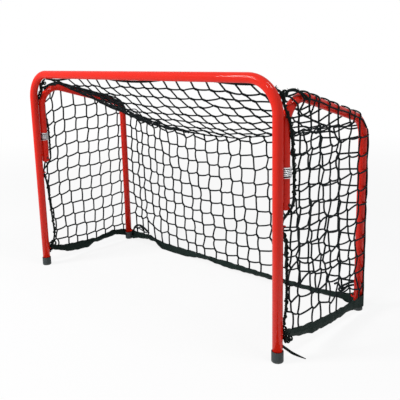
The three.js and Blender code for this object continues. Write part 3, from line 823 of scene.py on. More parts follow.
dress_both(leg_hook(), ENAMEL, "*_side", "hook_leg_*", mirrored=True)
pattern = wire_hook()
for side, sign in SIDES:
    for label, where in HOOK_PLACES.items():
        spot, turn = place(sign * POST_X, 0, where), sign * math.pi / 2
        node = f"hook_post_{side}_{label}"
        if label == "crossbar":
            spot, turn = place(sign * where, 0, BAR_Z), 0
            node = f"hook_crossbar_{side}"
        hook = copy_of(pattern, f"wire_hook_{label}_{side}")
        hook.data.transform(Matrix.Translation(spot) @ Matrix.Rotation(turn, 4, "Y"))
        dress(hook, ENAMEL, "front_frame", node)
bpy.data.objects.remove(pattern)
print("Hooks:", 2 * len(HOOK_PLACES) + 2)


# %% [markdown]
# ## Cords, ropes and net
# A cord is a tube along a smooth line. A skein gathers many of them in one mesh and keeps
# a UV map with the place round each cord and the metres along it, which the twist reads.

# %% A skein of cords
def smoothed(points, step):
    """A smooth line through given points, in millimetres, with points about step apart."""
    p = np.array(points, float)
    ends = np.vstack([2 * p[0] - p[1], p, 2 * p[-1] - p[-2]])
    bits = []
    for k in range(len(p) - 1):
        a, b, c, d = ends[k : k + 4]
        count = max(1, round(float(np.linalg.norm(c - b)) / step))
        t = (np.arange(count) / count)[:, None]
        bits.append(
            b + 0.5 * t * (c - a + t * (2 * a - 5 * b + 4 * c - d + t * (3 * (b - c) + d - a)))
        )
    return np.vstack([*bits, p[-1:]])


def unit(v):
    return v / max(float(np.linalg.norm(v)), 1e-9)


def run_of(line):
    """How far along a line each of its points is."""
    return np.concatenate([[0], np.cumsum(np.linalg.norm(np.diff(line, axis=0), axis=1))])


def frames_along(line):
    """A direction and two crosswise ones at each point, that turn as little as they can."""
    along = np.gradient(line, axis=0)
    along /= np.linalg.norm(along, axis=1)[:, None]
    side = unit(np.cross(along[0], (0.3, 0.2, 0.9)))
    sides = []
    for t in along:
        side = unit(side - t * (side @ t))
        sides.append(side)
    sides = np.array(sides)
    return along, sides, np.cross(along, sides)


def outward(line, angle):
    """Directions straight out from a line's points, each at its own angle round the line."""
    _, across, up = frames_along(line)
    return across * np.cos(angle)[:, None] + up * np.sin(angle)[:, None]


def skin(run, quads, ring, first=0):
    """Quads between rings of so many points, with UVs: the share round and metres along."""
    faces, uvs = [], []
    for i in range(len(run) - 1):
        for k in range(quads):
            a, b = (first + i * ring + m for m in (k, (k + 1) % ring))
            faces.append((a, b, b + ring, a + ring))
            u, w, v, z = k / quads, (k + 1) / quads, run[i] * MM, run[i + 1] * MM
            uvs += (u, v, w, v, w, z, u, z)
    return faces, uvs


def mesh_piece(name, points, faces, uvs):
    """A smooth mesh in its place, from points in millimetres."""
    mesh = bpy.data.meshes.new(name)
    mesh.from_pydata((points - (0, MIDDLE_Y, 0)) * MM, [], faces)
    mesh.uv_layers.new(name="UVMap").data.foreach_set("uv", np.array(uvs, np.float32))
    mesh.shade_smooth()
    piece = bpy.data.objects.new(name, mesh)
    bpy.context.collection.objects.link(piece)
    return piece


class Skein:
    def __init__(self):
        self.points, self.faces, self.uvs = [], [], []
        self.count = 0

    def lay(self, line, radius, sides=6):
        """A cord of that radius, one number or one for each point, along a line."""
        line = np.asarray(line, float)
        _, across, up = frames_along(line)
        turn = np.arange(sides)[None, :, None] * 2 * np.pi / sides
        ring = across[:, None] * np.cos(turn) + up[:, None] * np.sin(turn)
        wide = np.broadcast_to(radius, len(line))[:, None, None]
        self.points.append((line[:, None] + ring * wide).reshape(-1, 3))
        run = run_of(line)
        faces, uvs = skin(run, sides, sides, self.count)
        last = self.count + (len(line) - 1) * sides
        faces.append(tuple(self.count + k for k in reversed(range(sides))))
        faces.append(tuple(last + k for k in range(sides)))
        self.faces += faces
        self.uvs += (*uvs, *(0.5, 0.0) * sides, *(0.5, float(run[-1]) * MM) * sides)
        self.count += len(line) * sides

    def twist(self, line, radius, lay):
        """A rope of three strands laid round each other, one turn in each lay."""
        strand_out, strand_radius = 0.46 * radius, 0.55 * radius
        for strand in range(3):
            angle = (run_of(line) / lay + strand / 3) * 2 * np.pi
            self.lay(line + outward(line, angle) * strand_out, strand_radius)

    def wind(self, line, radius, cord, pitch, shift, seed):
        """A thin cord wound round a rope with an uneven pitch."""
        line = line + np.array(shift)
        run = run_of(line)
        phase = random.Random(seed).random() * 6
        angle = run / pitch * 2 * np.pi + 1.6 * np.sin(run / (pitch * 2.3) + phase)
        self.lay(line + outward(line, angle) * radius, cord)

    def tie(self, at, along, across, size):
        """A copy of the little knot at a crossing, turned to its two cords."""
        t = unit(np.asarray(along, float))
        s = np.asarray(across, float)
        s = unit(s - t * (s @ t))
        turned = np.array([t, s, np.cross(t, s)])
        self.points.append(np.asarray(at, float) + KNOT_POINTS * size @ turned)
        for face in KNOT_FACES:
            self.faces.append(tuple(self.count + k for k in face))
            for k in face:
                self.uvs += (k % 5 / 5, k // 5 * 0.0012)
        self.count += len(KNOT_POINTS)

    def tie_knot(self, knot, across, size):
        """The same at a knot that is kept as two places."""
        meet, leave = knot
        self.tie((meet + leave) / 2, leave - meet, across, size)

    def make(self, name, finish, body, node):
        """The mesh of all that was laid, dressed."""
        piece = mesh_piece(name, np.vstack(self.points), self.faces, self.uvs)
        print(name, "has", len(self.faces), "faces")
        return dress(piece, finish, body, node)


# %% [markdown]
# At each crossing of the net one cord is knotted round the other. A small ring of cord,
# pulled askew, reads as that knot, and it is copied to every crossing, so it has few faces.

# %% The knot of the net
KNOT_R, KNOT_CORD_R = 1.75, 1.05  # this pattern alone is modelled in millimetres


def knot_pattern():
    clear_selection()
    bpy.ops.mesh.primitive_torus_add(
        major_segments=8, minor_segments=5, major_radius=KNOT_R, minor_radius=KNOT_CORD_R,
        rotation=(math.radians(90), 0, math.radians(40)),
    )
    ring = set_in_place("net_knot")
    bpy.ops.transform.resize(value=(1.15, 1, 0.85), center_override=(0, 0, 0))
    pick("VERT", lambda co: co.z > 0)
    bpy.ops.transform.translate(value=(0.5, -0.3, 0))
    tidy_mesh()
    points = np.array([v.co for v in ring.data.vertices], float)
    faces = [tuple(p.vertices) for p in ring.data.polygons]
    bpy.data.objects.remove(ring)
    return points, faces


KNOT_POINTS, KNOT_FACES = knot_pattern()
print("A net knot has", len(KNOT_FACES), "faces")


# %% [markdown]
# The loose end of the tie leaves the right rope's foot, drops to the floor and lies there.
# It is a flat tape that tapers to its cut point, so its width is its diameter.

# %% The tie's loose end
TAIL_ROUTE = (
    (439, 14.2, 35.5), (439.1, 14.5, 31.5), (441, 19, 26), (445, 26, 19),
    (452, 35, 9.5), (464, 42.5, 3.6), (480, 44, 2.6),
)
TAIL_WIDTH, TAIL_THICK, TAIL_SIDES = 6.0, 1.4, 10
TAPER_FROM, CUT_SHARE = 0.55, 0.28  # of its length, and of its width at the cut
TAIL_FACING = (0.58, -0.8, 0.3)


def loose_end():
    line = smoothed(TAIL_ROUTE, 2)
    along, _, _ = frames_along(line)
    skein = Skein()
    skein.lay(line, 1.0, TAIL_SIDES)
    piece = skein.make("loose_tie_end", ROPE_CORD, "front_frame", "tie_tail")
    for i, share in enumerate(np.linspace(0, 1, len(line))):
        flat = unit(np.cross(along[i], TAIL_FACING))
        thin = np.cross(flat, along[i])
        taper = max(0, (share - TAPER_FROM) / (1 - TAPER_FROM)) ** 1.3
        wide = TAIL_WIDTH / 2 * (1 - (1 - CUT_SHARE) * taper)
        for k in range(TAIL_SIDES):
            turn = k / TAIL_SIDES * 2 * math.pi
            out = flat * math.cos(turn) * wide + thin * math.sin(turn) * TAIL_THICK / 2
            piece.data.vertices[i * TAIL_SIDES + k].co = place(*(line[i] + out))
    length = float(run_of(line)[-1]) * MM
    path = [place(*p) for p in line]
    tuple(path[0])
    return length


print("The loose end is", round(loose_end() / MM), "mm long")


# %% [markdown]
# The net follows the side frames, so the shape of their centre line is needed: for a place
# behind the posts it gives the tube's middle and the direction straight out of the bend.

# %% Where the rail is
ON_TUBE = SIDE_R + NET_R + 0.4  # from a side tube's middle to the middle of a cord on it
BEND_END = FOLD_Y + SIDE_BEND * (1 + math.sin(SLOPE))
BEND_START = DEPTH - SIDE_BEND * (1 - math.sin(SLOPE))
CREST_Y = FOLD_Y + SIDE_BEND


def rail_at(y):
    """(y, z) of the side tube's middle above a place, and its outward normal."""
    y = min(max(y, FOLD_Y + 0.5), DEPTH - 0.5)
    if BEND_END <= y <= BEND_START:
        z = RAIL_FRONT - (y - FOLD_Y) * math.tan(SLOPE)
        return np.array((y, z)), np.array((math.sin(SLOPE), math.cos(SLOPE)))
    centre = (CREST_Y, STUB_TOP) if y < BEND_END else (DEPTH - SIDE_BEND, LEG_TOP)
    cosine = (y - centre[0]) / SIDE_BEND
    normal = np.array((cosine, math.sqrt(max(0, 1 - cosine**2))))
    return np.array(centre) + SIDE_BEND * normal, normal


def over_rail(sign, y, degrees, reach=ON_TUBE):
    """A point on the rail's surface: 0 degrees is its outer side and 90 its top."""
    middle, normal = rail_at(y)
    turn = math.radians(degrees)
    out = middle + normal * reach * math.sin(turn)
    return np.array((sign * (POST_X + reach * math.cos(turn)), *out))


print("The rail is highest at", round(float(over_rail(1, CREST_Y, 90, SIDE_R)[2])), "mm")


# %% [markdown]
# A rope ties the net to the front frame. Its route is needed first, because the rows of
# the side nets end on it.

# %% Routes of the ropes
TOP_ROPE = (
    (-388, 14.5, 576), (-330, 14.2, 573), (-260, 13.9, 580), (-190, 13.9, 589), (-120, 13.9, 582),
    (-60, 14, 576), (0, 14.2, 574), (60, 14, 576), (120, 13.9, 582), (190, 13.9, 589),
    (260, 13.9, 580), (330, 14.2, 575), (388, 14.5, 576),
)
LEFT_ROPE = (
    (-396, 14.5, 574), (-410, 15, 566), (-420, 17, 553), (-429, 19, 542), (-438, 19, 533),
    (-446, 19, 520), (-451.5, 22, 505), (-452.3, 29, 490), (-451, 37, 475), (-448.5, 43, 455),
    (-446, 45.5, 425), (-445.5, 46, 400), (-445, 46, 340), (-444, 42, 327), (-441, 29, 312),
    (-439, 15.4, 302), (-439, 14.2, 292), (-439, 14.8, 284), (-440, 20, 268), (-440.5, 24.5, 245),
    (-441, 28, 200), (-440.5, 32, 150), (-439, 35, 100), (-437.5, 30, 76), (-437, 21, 60),
    (-439, 14.2, 50), (-439, 14.2, 36),
)
RIGHT_ROPE = (
    (396, 14.5, 574), (418, 17, 567), (435, 17, 559), (441, 16.5, 539), (448, 17, 521),
    (452.2, 22.5, 502), (452.5, 27, 478), (450, 35, 446), (448.5, 41, 415), (448, 42, 400),
    (448, 42, 345), (446, 39, 328), (441, 26, 312), (439, 15.4, 302), (439, 14.2, 292),
    (439, 14.8, 284), (440, 22, 270), (441, 27.5, 250), (441, 28.5, 200), (441, 29, 150),
    (440.5, 27, 108), (439.7, 20, 76), (439, 14.6, 60), (439, 14.2, 50), (439, 14.2, 36),
)

ROPE_TURN = 545  # height at which the side ropes turn in to the upper corners


def on_rope(route, z):
    """Where a rope is at a height below its turn."""
    low = sorted((p for p in route if p[2] < ROPE_TURN), key=lambda p: p[2])
    heights = [p[2] for p in low]
    return np.array([np.interp(z, heights, [p[k] for p in low]) for k in (0, 1)])


print("The ropes have", [len(route) for route in (TOP_ROPE, LEFT_ROPE, RIGHT_ROPE)], "points")


# %% [markdown]
# ### How the net hangs
# The mesh is 41 mm square. The roof and the back share 21 columns, which drift to the left
# on their way to the rear edge. The rows run parallel to the crossbar and turn back near the
# rails. The roof dips towards the rear, where its edge hangs in a low arc. Tables of measured
# places give all this, and a seeded draw moves each knot a little.

# %% Rows and columns of the net
COLUMNS = (  # x of each column at the crossbar and at the rear edge
    (-372, -418), (-360, -390), (-347, -367), (-335, -336), (-278, -304), (-236, -273),
    (-198, -238), (-154, -199), (-111, -158), (-68, -119), (-25, -74), (22, -28), (56, 14),
    (103, 55), (144, 98), (188, 146), (238, 190), (275, 232), (319, 276), (361, 320),
    (395, 365),
)
EACH_COLUMN = range(len(COLUMNS))
ROOF_MIDDLE = (  # (y, z) of the roof's front edge, its seven rows and its rear edge
    (17, 575), (42, 555.5), (81, 529.5), (122, 502.5), (165, 477), (209, 453), (253, 431),
    (298, 413), (346, 394),
)
EDGE_ROW = len(ROOF_MIDDLE) - 1
EACH_ROW = range(1, EDGE_ROW + 1)
REAR_EDGE = 330.4  # y at which the rear edge crosses the bend of the rail
TURN_BACK = 200  # from the middle to where the roof's rows begin to turn back
# how far the rear edge, and the roof before it, hang down from the rails' height
DIP = (
    (-438, 0), (-400, 0.2), (-343, 0.48), (-280, 0.68), (-227, 0.82), (-140, 0.97),
    (-19, 1.0), (74, 0.94), (160, 0.8), (228, 0.58), (320, 0.29), (400, 0.06), (438, 0),
)
ROOF_DIP = (
    (-438, 0), (-400, 0.3), (-343, 0.6), (-280, 0.84), (-227, 0.95), (-140, 1.0), (74, 0.98),
    (160, 0.9), (200, 0.83), (250, 0.76), (300, 0.7), (350, 0.6), (400, 0.45), (438, 0),
)
UPRIGHTS = {-1: (35, 74, 110, 153, 196, 237, 279, 321), 1: (27, 56, 95, 133, 174, 213, 255, 299)}
PAST_UPRIGHTS = 338  # where a ninth upright would stand at the right
BACKWARD = {-1: (15, 16, 18, 13, 7, 3, 0, 0), 1: (0, 8, 13, 13, 13, 13, 12, 8)}  # low down
ROW_LOW = {
    -1: ((20, 60), (50, 64), (125, 57), (200, 51), (280, 50), (340, 49)),
    1: ((20, 52), (100, 46), (220, 38), (340, 28.5)),
}
ROW_GAP = {
    -1: ((20, 36), (42, 36.6), (71, 37.5), (109, 38.6), (151, 39.1), (340, 39.2)),
    1: ((20, 38.6), (200, 40), (340, 40.8)),
}
BACK_Y, BACK_HALF = 349, 451
BACK_LOW, BACK_GAP = 0.4, 38.4  # rows of the back in the middle
BACK_ROWS = range(1, 11)
BACK_TOP = BACK_ROWS[-1]
# how a cord is shifted forward at each angle round the rail as it climbs over it
CLIMB = {
    -1: ((-25, 0), (10, 1), (45, 3), (72, 5), (90, 6)),
    1: ((-25, 0), (10, 0), (45, 0), (62, 2), (78, 6), (92, 11), (104, 16)),
}
draws = random.Random(41)


def table(pairs, at):
    xs, ys = zip(*pairs)
    return float(np.interp(at, xs, ys))


def jitter(size):
    return np.array([draws.gauss(0, size) for _ in range(3)])


def side_of(x):
    return -1 if x < 0 else 1


def roof_end(sign, row):
    """y at which a row of the roof crosses the top of a rail, as far as an upright climbs."""
    if row == EDGE_ROW:
        return REAR_EDGE
    if sign < 0:
        return UPRIGHTS[-1][row] - dict(CLIMB[-1])[90]
    return (*UPRIGHTS[1], PAST_UPRIGHTS)[row + 1] - dict(CLIMB[1])[92]


def roof_point(x, row):
    """The roof at a place across the goal."""
    y = ROOF_MIDDLE[row][0]
    turn_back = max(0, (abs(x) - TURN_BACK) / (POST_X - TURN_BACK)) ** 1.3
    y += (roof_end(side_of(x), row) - y) * turn_back
    high = over_rail(side_of(x), min(max(y, CREST_Y), REAR_EDGE), 90)[2]
    front_y, front_z = ROOF_MIDDLE[0]
    high += (front_z - high) * max(0, (CREST_Y - y) / (CREST_Y - front_y))
    dip = table(DIP if row == EDGE_ROW else ROOF_DIP, x)
    return np.array((x, y, high + (table(ROOF_MIDDLE, y) - high) * dip))


def roof_x(i, row):
    front, rear = COLUMNS[i]
    return front + (rear - front) * row / EDGE_ROW


def row_height(sign, y, n):
    return table(ROW_LOW[sign], y) + table(ROW_GAP[sign], y) * n


def back_point(i, n):
    """A knot of the back net: column i, row n up from the hem."""
    x = COLUMNS[i][1]
    flat = 1 - (x / BACK_HALF) ** 2
    low = BACK_LOW + BACK_GAP * n
    z = low + (row_height(side_of(x), DEPTH, n) - low) * (1 - table(DIP, x))
    if n == BACK_TOP:  # the rear edge pulls every other top knot up
        z += 3 if i % 2 else -5
    y = BACK_Y + 1.5 * math.sin(x / 90 + n * 0.7) + 1.2 * flat
    lean = 3.3 * (BACK_TOP - n) * min(1, 1.4 * flat)
    return np.array((x + lean, y, z))


print("The net has", EDGE_ROW - 1, "rows on the roof,", BACK_TOP, "at the back")
print("and", len(COLUMNS), "columns")


# %% [markdown]
# ### The roof and the back
# They bend across both folding joints, so each is split down the middle, where it stays
# still. For each half a weight is worked out, full at the rail and less towards the middle:
# the share of the quarter turn at which a point lies, seen from the fold axis. The weights
# are not kept, and the halves are attached to no body.

# %% Weights for the fold
def share_of_fold(at, sign):
    """How far each point follows the side frame, from 0 to 1."""
    inboard, behind = POST_X - sign * at[:, 0], at[:, 1] - FOLD_Y
    turn = np.clip(np.degrees(np.arctan2(behind, inboard)) / 90, 0, 1)
    still = np.clip(inboard / POST_X, 0, 1)
    return turn * (1 - still * still * (3 - 2 * still))


def follow_fold(piece, side, sign):
    end = place(sign * POST_X, DEPTH, 0)
    place(0, 0, 0)
    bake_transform(piece)
    weigh(piece, lambda at: share_of_fold(at, sign))


# %% [markdown]
# At a knot both cords of the mesh run together for a few millimetres, so each knot is drawn
# out: to the rear right on the roof, down to the right at the back, and down to the rear on
# the sides. A knot is kept as the two places where its cords meet and part.

# %% Strands of the net
CROSSING = 0.9  # half the way from one cord's middle to the other's where they cross
KNOT_SIZES, KNOT_HALVES = (0.9, 1.2), (0.36, 0.6)
SHORT, NET_STEP = 14, 5.5  # millimetres: a shorter stretch stays straight


def drawn(at, slant):
    """The two ends of a knot."""
    half = np.array(slant) * draws.uniform(*KNOT_HALVES)
    return at - half, at + half


def strand(points, bow, sag=0.0):
    """Points along a strand: the knots' ends, and between two knots a slight bow."""
    line = [points[0]]
    for a, b in zip(points, points[1:]):
        if np.linalg.norm(b - a) > SHORT:
            push = jitter(bow)
            push[2] -= sag
            line += [a + (b - a) * 0.3 + push * 0.8, a + (b - a) * 0.7 + push * 0.8]
        line.append(b)
    return smoothed(line, NET_STEP)


def halves(points):
    """A strand cut where it crosses the middle, with the side on which each part lies."""
    part = [points[0]]
    for a, b in zip(points, points[1:]):
        if a[0] * b[0] < 0:
            middle = a + (b - a) * (a[0] / (a[0] - b[0]))
            yield (1 if a[0] > 0 else -1), [*part, middle]
            part = [middle]
        part.append(b)
    yield (1 if part[-1][0] > 0 else -1), part


def ends_of(knots, off):
    """Both ends of each knot in a line, moved off to one side of the other cord."""
    return [end + off for knot in knots for end in knot]


def lay_rows(skeins, knots, rows, row_ends, off, bow, sag, thick):
    """Lays a panel's rows from rail to rail, each cut at the middle."""
    for n in rows:
        left, right = (row_ends(sign, n) for _, sign in SIDES)
        across = ends_of([knots[i, n] for i in EACH_COLUMN], off)
        for sign, part in halves([*left, *across, *reversed(right)]):
            skeins[sign].lay(strand(part, bow, sag), thick)


# %% The roof net
ROW_OVERHANG = 5  # how much further forward a right row ends on the rail's outer side


def roof_row_ends(sign, row):
    y = roof_end(sign, row)
    step = ROW_OVERHANG if sign > 0 and row < EDGE_ROW else 0
    return over_rail(sign, y, 90), over_rail(sign, y - step, 108)


top_heights = [(p[0], p[2]) for p in TOP_ROPE]
rope_edge = [np.array((front, 14.5, table(top_heights, front))) for front, _ in COLUMNS]
roof_knots = {
    (i, r): drawn(roof_point(roof_x(i, r), r) + jitter(1.6), (5.0, 4.6, -2.8))
    for i in EACH_COLUMN for r in EACH_ROW
}
roof = {sign: Skein() for _, sign in SIDES}
over = np.array((0, 0, CROSSING))
lay_rows(roof, roof_knots, EACH_ROW, roof_row_ends, over, 0.8, 1.0, NET_R)
for i in EACH_COLUMN:
    knots = [roof_knots[i, r] for r in EACH_ROW]
    for sign, part in halves(strand([rope_edge[i], *ends_of(knots, -over)], 0.8, 0.6)):
        roof[sign].lay(part, NET_R)
    for knot in knots:
        x, y, _ = knot[0]
        size = draws.uniform(*KNOT_SIZES)
        if x > -200 or y < 310:  # a loose cord runs where the left rear edge has its knots
            roof[side_of(x)].tie_knot(knot, (1, 0, 0), size)
    roof[side_of(COLUMNS[i][0])].tie(rope_edge[i], (1, 0, 0), (0, 0, 1), 1.3)
print("The roof net's knots:", len(roof_knots))


# %% [markdown]
# The net is too big for the frame, so slack gathers along its rear top edge. On each side
# one loose cord strays about the edge, most of all near the leg.

# %% The gathered rear edge
def slack_cord(sign, reach, spread, seed):
    """A cord from a leg along the edge. It strays by spread at the leg, and then by less."""
    draw = random.Random(seed)
    phase, lean = draw.uniform(0, 6.3), draw.uniform(-1, 1)
    stop = draw.uniform(0.45, 1) * reach
    line = []
    for at in np.linspace(0, stop, max(4, round(stop / 16))):
        edge = roof_point(sign * (POST_X - 3 - at), EDGE_ROW)
        loose = spread * (1 - 0.75 * at / reach)
        edge[1] += loose * (0.5 + 0.5 * lean * math.cos(at / 19 + phase))
        edge[2] += loose * (lean * 0.9 + 0.5 * math.sin(at / 15 + phase)) - 1
        line.append(edge + np.array([draw.gauss(0, 0.5) for _ in range(3)]))
    return smoothed(line, 5)


roof[-1].lay(slack_cord(-1, 330, 16, 5), NET_R * 0.9)
roof[1].lay(slack_cord(1, 430, 13, 9), NET_R)
for side, sign in SIDES:
    follow_fold(roof[sign].make(f"roof_net_{side}", NET_CORD, None, "net_top"), side, sign)


# %% [markdown]
# The back net hangs from that edge to the hem behind the feet. Its rows follow the arc of
# the edge, and its columns lean a little, as the photograph shows.

# %% Upper edges of the hems
HEM_TOP = {
    -1: (
        (-20, 64), (15, 60), (30, 54), (53, 46), (91, 40), (158, 36), (204, 33), (278, 42),
        (300, 38), (352, 29),
    ),
    1: ((-20, 76), (3, 72), (21, 71), (47, 63), (120, 52), (200, 45), (287, 42), (352, 41)),
}
BACK_HEM_TOP = (
    (-455, 28), (-438, 26), (-400, 27), (-338, 28), (-293, 17), (-245, 15), (-194, 15), (-144, 16),
    (-63, 15), (14, 16), (125, 15), (200, 15), (266, 15), (326, 17), (400, 28), (455, 40),
)


# %% The back net
BACK_THICK = NET_R * 1.17
back_knots = {}
for i in EACH_COLUMN:
    for n in BACK_ROWS:
        at = back_point(i, n) + jitter(1.7)
        if n < 3:  # the low rows are looser, and ride up where the hem stands high
            at += jitter(2.2)
            at[2] += 0.5 * (3 - n) * max(0, table(BACK_HEM_TOP, COLUMNS[i][1]) - 20)
        back_knots[i, n] = drawn(at, (5.0, 0, -5.6))
back = {sign: Skein() for _, sign in SIDES}
behind = np.array((0, CROSSING, 0))


def corner_point(sign, z):
    """The upright at the rear corner lies on the leg's outer rear side."""
    out = ON_TUBE * math.sqrt(0.5)
    return np.array((sign * (POST_X + out), DEPTH + out, z))


def back_row_ends(sign, n):
    z = row_height(sign, DEPTH, n)
    leave = np.array((sign * (POST_X - 3), DEPTH + ON_TUBE + 0.4, z - 0.6))
    return corner_point(sign, z), leave


lay_rows(back, back_knots, BACK_ROWS, back_row_ends, -behind, 1.0, 1.3, BACK_THICK)
for i in EACH_COLUMN:
    knots = [back_knots[i, n] for n in reversed(BACK_ROWS)]
    x = knots[-1][1][0]
    foot = np.array((x + 2, BACK_Y + 0.4, table(BACK_HEM_TOP, x) - 3))
    line = strand([roof_knots[i, EDGE_ROW][0], *ends_of(knots, behind), foot], 1.3)
    for sign, part in halves(line):
        back[sign].lay(part, BACK_THICK)
    for knot in knots:
        back[side_of(knot[0][0])].tie_knot(knot, (1, 0, 1), draws.uniform(*KNOT_SIZES))
print("Knots in the back net:", len(back_knots))


# %% [markdown]
# Low in both rear corners the drawcord of the hem is tied off: an open loop at the left
# and a small bow at the right.

# %% Loop and bow of the drawcord
LEFT_LOOPS = (  # cord, route
    (3.4, (
        (-420, 345, 34), (-412, 343, 44), (-400, 342, 52), (-384, 342, 56), (-366, 342, 52),
        (-350, 343, 43), (-342, 345, 34),
    )),
    (2.1, ((-402, 344, 33), (-393, 342, 44), (-380, 341.5, 50), (-368, 342, 44), (-362, 344, 33))),
    (2.1, ((-412, 343, 42), (-392, 341, 45), (-370, 341, 40), (-352, 343, 35))),
)
RIGHT_BOW = (
    (2.6, (
        (424, 343, 66), (414, 341, 62), (402, 340, 54), (391, 341, 46), (384, 340, 36),
        (391, 341, 33), (400, 341, 42), (408, 341, 52),
    )),
    (2.6, (
        (424, 344, 58), (410, 342, 52), (396, 341, 42), (386, 342, 44), (380, 342, 52),
        (370, 343, 46),
    )),
)
for sign, cords in ((-1, LEFT_LOOPS), (1, RIGHT_BOW)):
    for radius, route in cords:
        back[sign].lay(smoothed(route, 3), radius, 8)
back[1].tie((391, 341, 43), (1, 0, 0), (0, 0, 1), 2.4)
for side, sign in SIDES:
    follow_fold(back[sign].make(f"back_net_{side}", NET_CORD, None, "net_back"), side, sign)


# %% [markdown]
# ### The side nets
# They hang outside the side frames and turn with them. Each upright climbs over the rail,
# where the roof's row takes over. In front the rows end on the border rope, or on the
# selvedge beside the left sleeve.

# %% Shape of a side net
LOOSE = {-1: 1.3, 1: 2.4}  # how far the knots stray
LOOSE_LOW = {-1: 1.5, 1: 7.0}  # and near the hem
SIDE_ROWS = {-1: range(0, 14), 1: range(1, 14)}
SIDE_THICK = {-1: NET_R * 1.18, 1: NET_R}
PANEL_OUT = 12.6
UNDER_RAIL = 8  # the highest knots keep this far under the rail
FIRST_TOP, FIRST_END = 330, 356  # the right first upright leaves the panel below the sleeve
SELVEDGE_FROM = 312  # left rows end on the rope below this height, and on the selvedge above
SELVEDGE_LEAN = ((SELVEDGE_FROM, 0), (345, 1), (500, 1), (ROPE_TURN, 0.4))  # out and back
# at the right the second upright and the row under the roof go to the corner's knots
CORNER_UPRIGHT = ((440.0, 19, 557), (441, 35, 562), (444, 51, 561), (451, 63, 553), (453, 68, 540))
CORNER_ROW = ((440.0, 18, 554), (447, 31, 550), (452, 47, 536))


def side_x(sign, y, z):
    """Out to the panel: it stands clear of the sleeve, washer and spring in front."""
    near_sleeve = max(0, 1 - abs(y - FOLD_Y) / 32) * (320 < z < 425)
    return sign * (POST_X + PANEL_OUT + 2.2 * near_sleeve)


def front_end(sign, z):
    """Where a row ends in front."""
    x, y = on_rope(LEFT_ROPE if sign < 0 else RIGHT_ROPE, z)
    if sign > 0 or z < SELVEDGE_FROM:
        return np.array((x + sign * 1.6, y + 1.5, z))
    lean = table(SELVEDGE_LEAN, z)
    return np.array((-POST_X - 3.2 - 11.5 * lean, 18 + 26 * lean, z))


def upright_y(sign, j, z):
    """Where an upright of the side net is: further back low down, and it leans at the top."""
    low = min(1, max(0, (240 - z) / 150))
    lean = 0.2 * max(0, z - 470) * (sign < 0 or j > 2)
    return UPRIGHTS[sign][j] + BACKWARD[sign][j] * low - lean


def side_knots(sign):
    knots = {}
    for j, y in enumerate(UPRIGHTS[sign]):
        for n in SIDE_ROWS[sign]:
            z = row_height(sign, y, n)
            too_high = z > rail_at(y)[0][1] - SIDE_R - UNDER_RAIL
            if too_high or (sign > 0 and j == 0 and z > FIRST_TOP):
                break
            low = max(0, 1 - (n - 1) / 4)
            off = jitter(LOOSE[sign] + (LOOSE_LOW[sign] - LOOSE[sign]) * low) * (0.3, 1, 1)
            lift = max(0, table(HEM_TOP[sign], y) + 20 - z) * 0.6  # low knots ride on the hem
            at = np.array((side_x(sign, y, z), upright_y(sign, j, z), z + lift)) + off
            knots[j, n] = drawn(at, (0, 4.6, -4.4))
    return knots


# %% The side nets
def climb_from(sign, j, top):
    """The way of an upright from the roof's edge down to its highest knot."""
    if sign > 0 and j == 0:
        climb = [front_end(sign, FIRST_END)]
    elif sign > 0 and j == 1:
        climb = [np.array(p) for p in CORNER_UPRIGHT]
    else:
        climb = [over_rail(sign, top[1] - ahead, turn) for turn, ahead in reversed(CLIMB[sign])]
    return smoothed([*climb, top], 4)[:-1]


def side_net(sign):
    skein = Skein()
    knots = side_knots(sign)
    uprights, rows, thick = UPRIGHTS[sign], SIDE_ROWS[sign], SIDE_THICK[sign]
    outer = np.array((sign * CROSSING, 0, 0))
    for j, y in enumerate(uprights):
        mine = [knots[j, n] for n in reversed(rows) if (j, n) in knots]
        foot_y = mine[-1][1][1]
        foot = np.array((side_x(sign, y, 40), foot_y, table(HEM_TOP[sign], foot_y) - 3))
        line = strand([*ends_of(mine, -outer), foot], 1.2)
        skein.lay(np.vstack([climb_from(sign, j, mine[0][0] - outer), line]), thick)
    for n in rows:
        mine = [knots[j, n] for j in range(len(uprights)) if (j, n) in knots]
        if not mine:
            continue
        front = [front_end(sign, mine[0][0][2] + draws.uniform(-2, 2))]
        if sign > 0 and n == 12:
            front = [np.array(p) for p in CORNER_ROW]
        row = [*front, *ends_of(mine, outer)]
        if n <= BACK_TOP:
            z = row_height(sign, DEPTH, n)
            row += [np.array((sign * (POST_X + ON_TUBE), DEPTH - 3, z)), corner_point(sign, z)]
        else:
            y = mine[-1][1][1]  # a high row ends on the rail, behind its last knot
            row += [over_rail(sign, y + 16, -8), over_rail(sign, y + 24, 60)]
        skein.lay(strand(row, 1.3, 1.4), thick)
    for knot in knots.values():
        skein.tie_knot(knot, (0, 1, 1), draws.uniform(*KNOT_SIZES))
    corner = [corner_point(sign, z) + jitter(0.7) for z in np.arange(36, 452, 20)]
    for y, turn in ((DEPTH - 2, 60), (REAR_EDGE + 3, 75), (REAR_EDGE, 90)):
        corner.append(over_rail(sign, y, turn))
    skein.lay(smoothed(corner, 5), NET_R * 1.25, 8)
    for n in BACK_ROWS:
        skein.tie(corner_point(sign, row_height(sign, DEPTH, n)), (0, 0, 1), (1, 0, 0), 1.2)
    return skein


side_nets = {sign: side_net(sign) for _, sign in SIDES}
print("Knots and cords of the side nets are laid")


# %% [markdown]
# On the left the slack of the net is drawn along the rail in a loose bundle, with the red
# tube showing between its cords. At the right one cord follows the outer face of the rail.

# %% Bundle on the left rail
BUNDLE_CORDS, BUNDLE_POINTS = 6, 22
FRONT_DEGREES = (84, 98)  # round the rail, between which the cords lie in front
REAR_DEGREES = (106, 216)  # and at the rear, where they have spread
SPREAD_FROM, SPREAD_OVER = 60, 260
STRAY_DEGREES, STRAY_OUT = 8, 1.8


